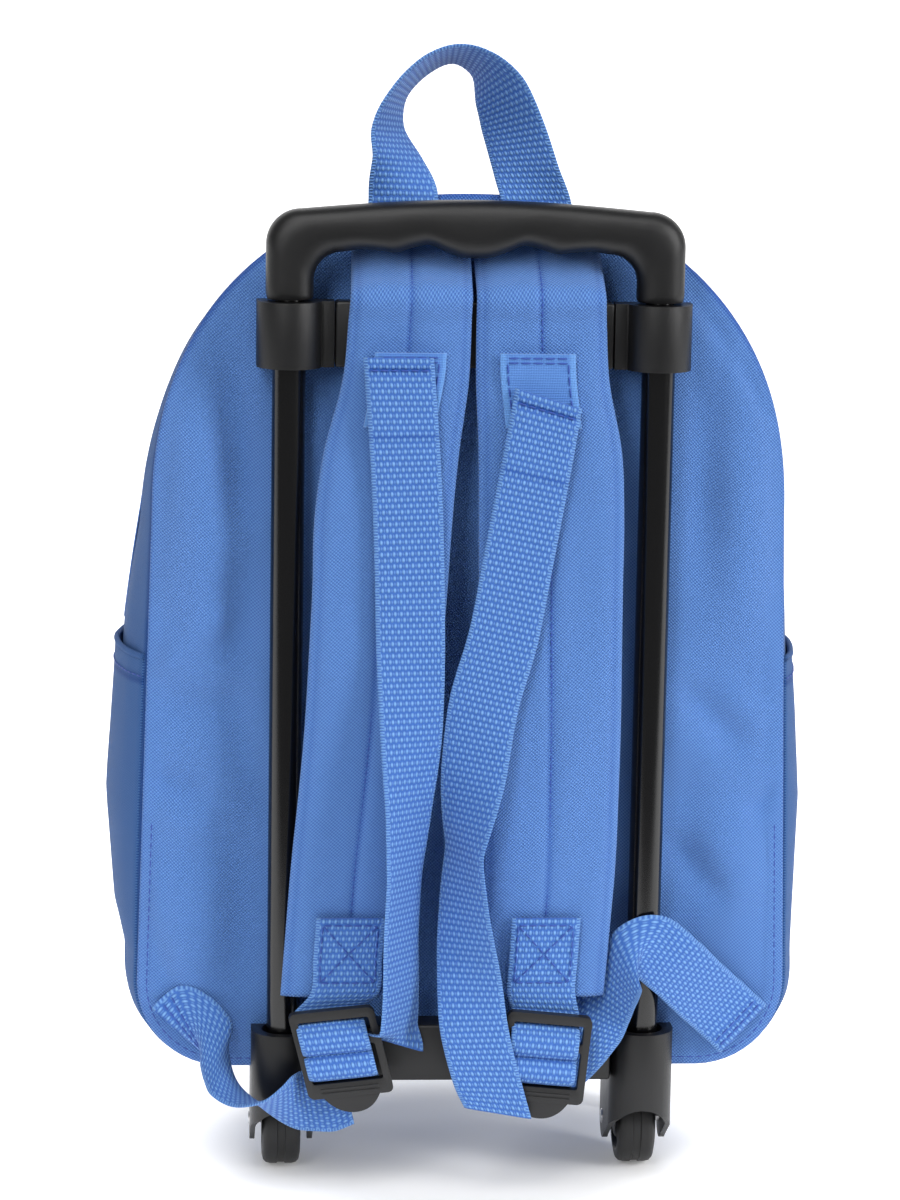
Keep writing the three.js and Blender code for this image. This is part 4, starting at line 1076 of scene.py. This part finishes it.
def handle_grip():
    right = grip_sections()
    left = [[(-x, z) for x, z in row] for row in right[:-1]][::-1]
    rings = []
    rows = right + left
    for k, (outer, inner) in enumerate(rows):
        ends = min(k, len(rows) - 1 - k)
        tuck = {0: 0.94, 1: 0.99}.get(ends, 1.0)
        ring = []
        for a in angles_round(56):
            c, s = math.cos(a), math.sin(a)
            share = 0.5 + 0.5 * tuck * math.copysign(abs(c) ** 0.8, c)
            y = tuck * GRIP_DEPTH / 2 * math.copysign(abs(s) ** 0.8, s)
            ring.append((mix(inner[0], outer[0], share), y, mix(inner[1], outer[1], share)))
        rings.append(ring)
    points, faces = tube_through(rings)
    return piece("grip", points, faces, plastic, body="handle", sharp=50)


# Middle of each buckle as (x, z), rise of its bars and lean of its sides in degrees
BUCKLES = {"left": (-45.41, 54.03, 6.0, 14.5), "right": (28.78, 51.88, -5.3, -5.5)}


def in_buckle(side, across, up, ahead):
    """A point given from the middle of a buckle, along its bars, its sides and out of its face."""
    x, z, rise, lean = BUCKLES[side]
    a, b = math.radians(rise), math.radians(lean)
    return (x + across * math.cos(a) - up * math.sin(b), BUCKLE_Y - ahead,
            z + across * math.sin(a) + up * math.cos(b))


def round_buckle(side, rows):
    """Stations of webbing that wraps a bar of the buckle, from rows of (up, ahead)."""
    tilt = lean_turn(BUCKLES[side][2], 0)
    return [(in_buckle(side, WRAP_SHIFT, up, ahead), tilt, WEB) for up, ahead in rows]


def rounded_box(left, right, low, high, r, count=8):
    shape = []
    for cx, cz, first in ((right - r, high - r, 0), (left + r, high - r, 90), (left + r, low + r, 180),
                          (right - r, low + r, 270)):
        shape += arc((cx, cz), r, first, first + 90, count)
    return shape


def ladder_buckle(side):
    def lie(u, v, w):
        return in_buckle(side, u, v, w)

    w, h = 15.5, 16.5
    body = prism("buckle_" + side, rounded_box(-w, w, -h, h, 2.4), -2, 2, lie)
    lobe = [(-w * 0.7, -h + 1)]
    for t in np.linspace(0, 1, 14)[1:]:
        near, middle = (1 - t) ** 2, 2 * t * (1 - t)
        lobe.append((near * -w * 0.7 + middle * -w * 0.45, near * (-h + 1) + (1 - near) * (-h - 6.5)))
    lobe += [(-x, z) for x, z in reversed(lobe[:-1])]
    joined(body, [prism("lobe", lobe, -2, 1.1, lie)], "UNION")
    joined(body, [prism("slot", rounded_box(-12.8, 12.8, 6, 13, 0.9), -5, 5, lie),
                  prism("slot", rounded_box(-12.8, 12.8, -11, 3, 0.9), -5, 5, lie)], "DIFFERENCE")
    ridges = [prism("ridge", rounded_box(-10.5, 10.5, z - 0.4, z + 0.4, 0.35), 1.8, 2.4, lie)
              for z in (-13.2, -14.8)]
    joined(body, ridges, "UNION")
    return finished(body, buckle_plastic, bevel=0.55)


# Straps and webbing

# Share of the way down each strap, then its place across and its width as shares of SPREAD
STRAP_ROWS = {
    "left": [(0, -0.167, 0.321), (0.18, -0.184, 0.336), (0.32, -0.239, 0.38), (0.48, -0.252, 0.364),
             (0.67, -0.276, 0.356), (0.83, -0.31, 0.35), (1, -0.335, 0.35)],
    "right": [(0, 0.170, 0.343), (0.18, 0.180, 0.356), (0.3, 0.211, 0.4), (0.48, 0.214, 0.392),
              (0.67, 0.222, 0.383), (0.83, 0.222, 0.37), (1, 0.205, 0.356)],
}
SPREAD = 2 * TUBE_X
# Height and depth of the straps' middle, which rolls back over the panel behind the handle
STRAP_Y = [(73, -11.6), (198.4, -11.06), (297, -6.74), (318.5, -6.2), (327, -7.2), (331.5, -1.7),
           (335.5, 4.3), (341, 11.3), (349, 14.1)]
STRAP_BEND = 2


def strap_place(side, z):
    down = (STRAP_TOP - z) / (STRAP_TOP - STRAP_LOW)
    rows = np.array(STRAP_ROWS[side])
    x = SPREAD * np.interp(down, rows[:, 0], rows[:, 1])
    y = np.interp(z, [r[0] for r in STRAP_Y], [r[1] for r in STRAP_Y])
    return np.array([x, y, z]), SPREAD * np.interp(down, rows[:, 0], rows[:, 2])


def pad_profile(side):
    """Padded strap: rounded edges and a seam down the middle."""
    seed = 4.0 if side == "left" else 8.0

    def profile(u, along):
        body = 3.29 * np.clip(1 - np.abs(u) ** 4.5, 0, 1) ** 0.5
        seam = 1.0 * np.exp(-(u * 24 / 1.5) ** 2)
        edge = 0.35 * np.exp(-((np.abs(u) - 0.88) * 24 / 1.0) ** 2)
        soft = np.array([noise.noise(Vector((v * 1.6, along * 0.02, seed))) for v in u]) * 0.9
        puff = 1.0 - 0.06 * np.cos(along * 0.11 + seed)
        front = body * puff - seam - edge + soft * np.clip(1 - u ** 4, 0, 1) - 0.2
        # Painted shade in the middle seam and the grooves by the edges.
        painted_shade = 0.4 * np.exp(-(u * 24 / 0.5) ** 2) + edge * 0.5
        return front, -body, painted_shade

    return profile


def shoulder_strap(side):
    heights = [z for z, _ in reversed(STRAP_Y[STRAP_BEND + 1:])]
    heights += list(np.linspace(STRAP_LOW, STRAP_Y[STRAP_BEND][0], 10))[::-1]
    stations = [(strap_place(side, z)[0], (1, 0, 0), strap_place(side, z)[1]) for z in heights]
    strap = Band(stations, step=1.2, passes=30)
    pad = strap.skin("strap_" + side, cloth, pad_profile(side), sides=44)
    total = strap.along[-1]
    row = [strap.point(a, 0.0, 2.12) for a in np.arange(14, total - 8, 1.5)]
    sewn = stitches("strap_stitches_" + side, [row], length=2.2, radius=0.26)
    return [pad, sewn]


def ahead_of_strap(side, z, lift):
    place = strap_place(side, z)[0]
    return np.array([place[0], place[1] - STRAP_THICK / 2 - lift, z])


# Sideways shift and width of the square sewn on each strap
PATCHES = {"left": (0.6, 25.4), "right": (-1.8, 27.0)}


def strap_patch(side, shift, width):
    heights = (307.5, 301, 295, 288, 281)
    stations = [(ahead_of_strap(side, z, 1.0) + [shift, 0, 0], (1, 0, 0), width) for z in heights]
    patch = Band(stations, step=0.8)

    def profile(u, along):
        edge = np.sqrt(np.clip(1 - np.abs(u) ** 14, 0, 1)) * 0.5
        return edge, -edge, np.zeros(len(u))

    made = patch.skin("patch_" + side, tape, profile, sides=24)
    total = patch.along[-1]
    lift = 0.62
    lines = [[patch.point(a, u, lift) for u in np.linspace(-0.8, 0.8, 20)] for a in (1.6, 3.3, total - 2.4)]
    lines += [[patch.point(a, u, lift) for a in np.linspace(3.3, total - 2.4, 20)] for u in (-0.8, 0.8)]
    return [made, stitches("patch_stitches_" + side, lines, length=2.9)]


# Webbing round the buckle's bars: shift along them, then height and distance ahead of its middle
WRAP_SHIFT = -1.2
END_TURN = [(14.75, -4), (12.6, -3), (11, 1.5), (7, 4.6), (3, 4.2), (0.6, 1.5), (0.4, -2.5)]


def end_loop(side):
    stations = [(ahead_of_strap(side, z, 1.3), (1, 0, 0), WEB) for z in (103, 88, 75)]
    loop = Band(stations + round_buckle(side, END_TURN), step=0.7)
    made = loop.skin("end_loop_" + side, webbing, webbing_profile(), sides=24)
    lift = WEB_THICK / 2 + 0.18
    first, last, edge = 2.6, 24.0, 0.8
    box = [(first, -edge), (first, edge), (last, edge), (last, -edge), (first, -edge)]
    cross = [[(first, -edge), (last, edge)], [(first, edge), (last, -edge)]]
    lines = []
    for run in [box, *cross]:
        line = []
        for (a0, u0), (a1, u1) in zip(run, run[1:]):
            line += [loop.point(mix(a0, a1, t), mix(u0, u1, t), lift) for t in np.linspace(0, 1, 20)]
        lines.append(line)
    return [made, stitches("end_loop_stitches_" + side, lines)]


# Lower webbing from its corner to the buckle: shares of the way across, of the span as a rise and of
# the way ahead, then lean and turn in degrees
LOWER_WEB = {
    "left": [(0, 0, 0, 138, 0), (0.08, 0.095, 0.07, 109, 15), (0.167, 0.055, 0.25, 78, 25),
             (0.236, -0.023, 0.48, 56, 35), (0.25, -0.115, 0.75, 60, 60), (0.338, -0.192, 1.02, 70, 85),
             (0.493, -0.185, 1.3, 85, 112), (0.6, -0.17, 1.24, 90, 138), (0.68, -0.16, 1.06, 95, 160),
             (0.76, -0.15, 0.88, 100, 172), (0.88, -0.125, 0.8, 100, 176), (0.98, -0.05, 0.84, 104, 182)],
    "right": [(0, 0, 0, 48, 0), (0.125, 0.147, 0.13, 48, 0), (0.21, 0.247, 0.32, 48, 0),
              (0.36, 0.432, 0.6, 50, 0), (0.5, 0.565, 0.73, 58, 10), (0.58, 0.54, 0.92, 112, 30),
              (0.653, 0.407, 0.72, 145, 45), (0.72, 0.29, 0.66, 160, 32), (0.793, 0.193, 0.86, 172, 8),
              (0.9, 0.06, 0.84, 178, 0), (1.02, -0.03, 0.82, 178, 0)],
}
WEB_CORNER = (104.62, 5.4, 54.88)
TURN_ROWS = [(-17.5, -8.2), (-14.6, -5), (-11, -3.7), (-9.6, 0), (-7.5, 3.8), (-4, 4.6), (-1, 2.6),
             (-0.3, -1.5)]


def lower_webbing(side):
    sign = 1 if side == "right" else -1
    corner = np.array([sign * WEB_CORNER[0], *WEB_CORNER[1:]])
    run = np.array(in_buckle(side, 0, -14.85, -4)) - corner
    span = math.hypot(run[0], run[2])
    stations = [(corner + [run[0] * along, run[1] * ahead, run[2] * along + span * rise],
                 lean_turn(lean, turn), WEB) for along, rise, ahead, lean, turn in LOWER_WEB[side]]
    strip = Band(stations, step=0.8, passes=14)
    made = strip.skin("lower_web_" + side, webbing, webbing_profile(), sides=24)
    turn = Band(round_buckle(side, TURN_ROWS), step=0.6)
    wrap = turn.skin("buckle_wrap_" + side, webbing, webbing_profile(), sides=24)
    lift = -(WEB_THICK / 2 + 0.15) if sign > 0 else WEB_THICK / 2 + 0.15
    lines = [[strip.point(a, u, lift) for u in np.linspace(-0.85, 0.85, 24)] for a in (2.5, 5.0)]
    sewn = stitches("corner_stitches_" + side, lines)
    return [made, wrap, sewn]


# Loose tails: share of the height, place across as a share of SPREAD, half thicknesses ahead of the
# strap, then lean and turn in degrees
TAILS = {
    "left": [(1, -0.21, 3.6, 0, 0), (0.9, -0.195, 3.6, 1, 2), (0.82, -0.184, 2.6, 2, 3),
             (0.7, -0.174, 2.4, 2, 3), (0.58, -0.168, 2.6, 0, 6), (0.45, -0.163, 5, -2, 24),
             (0.34, -0.168, 9, -4, 45), (0.24, -0.178, 11, -8, 57), (0.15, -0.184, 9.5, -8, 57),
             (0.06, -0.182, 6, -4, 56), (0, -0.186, 3, -6, 54), (-0.022, -0.197, -0.5, -22, 18)],
    "right": [(1, 0.194, 3.7, -17, 0), (0.93, 0.172, 3.4, -13, 0), (0.78, 0.121, 2.8, -11, -3),
              (0.67, 0.082, 3, -13, -4), (0.58, 0.034, 3, -12, -8), (0.48, 0.008, 3, -6, -24),
              (0.37, -0.014, 4, 2, -62), (0.28, -0.012, 6, 5, -46), (0.19, 0.004, 9, 5, -24),
              (0.12, 0.019, 11.5, 5, -10), (0.04, 0.06, 11.5, 0, -4), (0, 0.088, 10.5, -10, 0)],
}
# Heights of the top and the lower end of each tail
TAIL_ENDS = {"left": (306.0, 61.5), "right": (292.0, 32.0)}


def webbing_tail(side):
    top, bottom = TAIL_ENDS[side]
    stations = []
    for up, across, ahead, lean, turn in TAILS[side]:
        z = mix(bottom, top, up)
        face = strap_place(side, max(z, STRAP_LOW))[0][1] - STRAP_THICK / 2
        place = (SPREAD * across, face - WEB_THICK * ahead * 0.5 - 0.3, z)
        stations.append((place, lean_turn(lean, turn), WEB))
    tail = Band(stations, step=0.7, passes=16)
    profile = webbing_profile(ripple=0.05, double_end=27, stitched_end=4.5)
    made = tail.skin("tail_" + side, webbing, profile, sides=26)
    line = [tail.point(4.5, u, WEB_THICK / 2 + 0.35) for u in np.linspace(-0.86, 0.86, 30)]
    return [made, stitches("tail_stitches_" + side, [line])]


LOOP_HALF, LOOP_TOP = 30.0, 411.5
# Share of the half width, share of the height, lean and turn along the grab loop
GRAB_ROWS = [(-0.86, -0.12, 0, 0), (-0.84, 0.05, 0, 0), (-0.9, 0.28, -6, 40), (-1.02, 0.5, -10, 60),
             (-0.9, 0.72, -30, 72), (-0.55, 0.92, -60, 72), (-0.22, 0.985, -90, 72), (0.08, 0.92, -115, 64),
             (0.3, 0.74, -145, 40), (0.47, 0.5, -165, 30), (0.63, 0.22, -176, 22), (0.76, 0.0, -180, 0),
             (0.78, -0.12, -180, 0)]


def grab_loop():
    low = PANEL_HIGH - 3
    base = float(panel_face(low)) - WEB_THICK / 2
    stations = [((LOOP_HALF * side, base + 5.0 * float(smooth(2 * up)), low + (LOOP_TOP - low) * up),
                 lean_turn(lean, turn), WEB) for side, up, lean, turn in GRAB_ROWS]
    loop = Band(stations, step=0.7, passes=10)
    return [loop.skin("loop", webbing, webbing_profile(ripple=0.04), sides=26)]


COIL_RADIUS = 0.42


def main_zip():
    """Closed coil zip over the arch: two tapes and the row of coils between them."""
    first = share_at(POCKET_HIGH + 6)
    middle, half = 0.68, 11 / BAG_DEPTH
    shares = np.linspace(first, 1 - first, 330)
    depths = np.linspace(middle - half, middle + half, 25)
    across = (depths - middle) * BAG_DEPTH
    rise = 0.35 + 0.5 * np.exp(-((np.abs(across) - 4.2) / 1.0) ** 2)
    rings, laid = [], []
    for k, share in enumerate(shares):
        top = side_points(share, depths, 0.3 + rise)
        low = side_points(share, depths, np.full(len(depths), 0.2))
        rings.append(np.vstack([top, low[::-1]]))
        row = np.column_stack([across, np.full(len(depths), k * 1.4), np.zeros(len(depths))])
        laid.append(np.vstack([row, row[::-1]]))
    points, faces = tube_through(rings)
    tapes = piece("zip_tapes", points, faces, tape, laid=np.concatenate(laid), sharp=60)
    beads = []
    pitch = 1.5
    length = OUTLINE * (1 - 2 * first)
    for k in range(int(length / pitch)):
        share = mix(first, 1 - first, (k + 0.5) * pitch / length)
        for hand in (-1, 1):
            rings = []
            for t in np.linspace(0, 1, 5):
                off = hand * mix(-0.6, 2.5, t)
                lift = 0.75 + 0.5 * math.sin(math.pi * t) ** 0.5
                s = share + hand * 0.18 * pitch / OUTLINE
                centre = side_points(s, [middle + off / BAG_DEPTH], lift)[0]
                later = side_points(s + 0.4 / OUTLINE, [middle + off / BAG_DEPTH], lift)[0]
                run = (later - centre) / np.linalg.norm(later - centre)
                up = side_points(s, [middle + off / BAG_DEPTH], lift + 1)[0] - centre
                rings.append([centre + COIL_RADIUS * (math.cos(a) * run + math.sin(a) * up) for a in SIXTHS])
            beads.append(rings)
    return [tapes, thread_beads("zip_coils", beads)]


def seam_stitches():
    """Rows of stitches beside the panel's rolled edge and along the bottom."""
    shares = np.concatenate([np.linspace(0.80, 1.0, 200), np.linspace(0, 0.20, 200)])
    edge, outward = outline_at(shares)
    line = [(x, float(panel_face(z)) + 0.25, z) for x, z in edge - outward * 3.6]
    return stitches("panel_stitches", [line], length=2.6, radius=0.26)


# Assembly

def stand_in_for(node, made):
    """Hides a CAD node so that the finer pieces built for it stand in its place."""
    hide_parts(node)


stand_in_for("back_panel", [back_cloth(), seam_stitches()])
stand_in_for("gusset", [side_cloth(), seam_welt("far_welt")])
stand_in_for("front_panel", [far_cloth()])
stand_in_for("main_zip", main_zip())
stand_in_for("grab_loop", grab_loop())
stand_in_for("handle_grip", [handle_grip()])
upper_bar = crossbar("upper_bar", UPPER_BAR_HALF, UPPER_BAR_FRONT, SLEEVE_LOW, SLEEVE_HIGH)
stand_in_for("upper_crossbar", [upper_bar])
lower_bar = crossbar("lower_bar", LOWER_BAR_HALF, LOWER_BAR_FRONT, LOWER_BAR_LOW, LOWER_BAR_HIGH)
stand_in_for("lower_crossbar", [lower_bar])

for side, sign in (("left", -1), ("right", 1)):
    x = sign * TUBE_X
    outer = tube("outer_" + side, x, TUBE_RADIUS, OUTER_LOW, OUTER_HIGH, "bag_and_frame", 0.8)
    stand_in_for("outer_tube_" + side, [outer])
    inner = tube("inner_" + side, x, INNER_RADIUS, INNER_LOW, INNER_HIGH, "handle")
    stand_in_for("inner_tube_" + side, [inner])
    stand_in_for("upper_sleeve_" + side, [upper_sleeve(sign, "sleeve_" + side)])
    stand_in_for("wheel_housing_" + side, [wheel_housing(sign, "housing_" + side)])
    stand_in_for("wheel_" + side, [wheel(sign, "tyre_" + side)])
    stand_in_for("axle_" + side, [axle(sign, "pin_" + side)])
    stand_in_for("front_foot_" + side, [foot(sign, "foot_" + side)])
    stand_in_for("side_pocket_" + side, list(pocket_cloth(sign, "pocket_" + side)))
    stand_in_for("shoulder_strap_" + side, shoulder_strap(side))
    stand_in_for("strap_patch_" + side, strap_patch(side, *PATCHES[side]))
    stand_in_for("strap_end_loop_" + side, end_loop(side))
    stand_in_for("ladder_buckle_" + side, [ladder_buckle(side)])
    stand_in_for("lower_webbing_" + side, lower_webbing(side))
    stand_in_for("webbing_tail_" + side, webbing_tail(side))


# Floor, light and camera

FLOOR_REACH = 6.0


def studio_floor():
    """Wide pale sweep: level under the bag and rising far behind it."""
    profile = [(y, 0.0) for y in np.linspace(-0.45, 2.5, 12)]
    profile += [(2.5 + 2.0 * math.sin(a), 2.0 * (1 - math.cos(a)))
                for a in np.linspace(0, math.pi / 2, 16)[1:]]
    profile += [(4.5, 5.0)]
    points = []
    for x in (-FLOOR_REACH, FLOOR_REACH):
        points += [(x, y, z - 0.0002) for y, z in profile]
    n = len(profile)
    faces = [(k, k + 1, n + k + 1, n + k) for k in range(n - 1)]
    mesh = bpy.data.meshes.new("studio_floor")
    mesh.from_pydata(points, [], faces)
    mesh.materials.append(pale_floor())
    mesh.polygons.foreach_set("use_smooth", [True] * len(mesh.polygons))
    made = bpy.data.objects.new("studio_floor", mesh)
    bpy.context.scene.collection.objects.link(made)
    return made


def soft_light(name, place, aim, width, height, power):
    lamp = bpy.data.lights.new(name, "AREA")
    lamp.shape = "RECTANGLE"
    lamp.size, lamp.size_y = width, height
    lamp.energy = power
    made = bpy.data.objects.new(name, lamp)
    bpy.context.scene.collection.objects.link(made)
    made.location = place
    way = Vector(aim) - Vector(place)
    made.rotation_euler = way.to_track_quat("-Z", "Y").to_euler()


studio_floor()
soft_light("left_panel", (-0.7, -1.5, 1.15), (0, 0, 0.22), 0.45, 1.2, 15)
soft_light("right_panel", (1.5, -0.95, 0.9), (0, 0, 0.22), 0.45, 1.2, 26)
soft_light("top_panel", (-0.1, -0.8, 1.8), (0, 0, 0.15), 1.3, 0.9, 15)

world = bpy.data.worlds.new("studio_world")
bpy.context.scene.world = world
world.use_nodes = True
world.node_tree.nodes["Background"].inputs["Color"].default_value = (1, 1, 1, 1)
world.node_tree.nodes["Background"].inputs["Strength"].default_value = 0.22

# Camera as fitted to the photograph: focal length in picture heights, angles in degrees
FOCAL = 3935 / 1200
YAW, PITCH, ROLL = 3.95, 10.5, 0.97
CAMERA_PLACE = (-103.2, -1389.5, 475.0)


def photo_camera():
    yaw, pitch, roll = (math.radians(v) for v in (YAW, PITCH, ROLL))
    ahead = Vector((math.sin(yaw) * math.cos(pitch), math.cos(yaw) * math.cos(pitch), -math.sin(pitch)))
    right = Vector((math.cos(yaw), -math.sin(yaw), 0))
    up = right.cross(ahead)
    c, s = math.cos(roll), math.sin(roll)
    right, up = right * c + up * s, up * c - right * s
    lens = bpy.data.cameras.new("photo_camera")
    lens.sensor_width = 36
    lens.lens = 36 * FOCAL
    lens.clip_start, lens.clip_end = 0.05, 50
    made = bpy.data.objects.new("photo_camera", lens)
    bpy.context.scene.collection.objects.link(made)
    x, y, z = placed([CAMERA_PLACE])[0]
    turn = Matrix((right, up, -ahead)).transposed().to_4x4()
    made.matrix_world = Matrix.Translation((x, y, z)) @ turn
    bpy.context.scene.camera = made
    return made


photo_camera()
bpy.context.scene.view_settings.view_transform = "Standard"
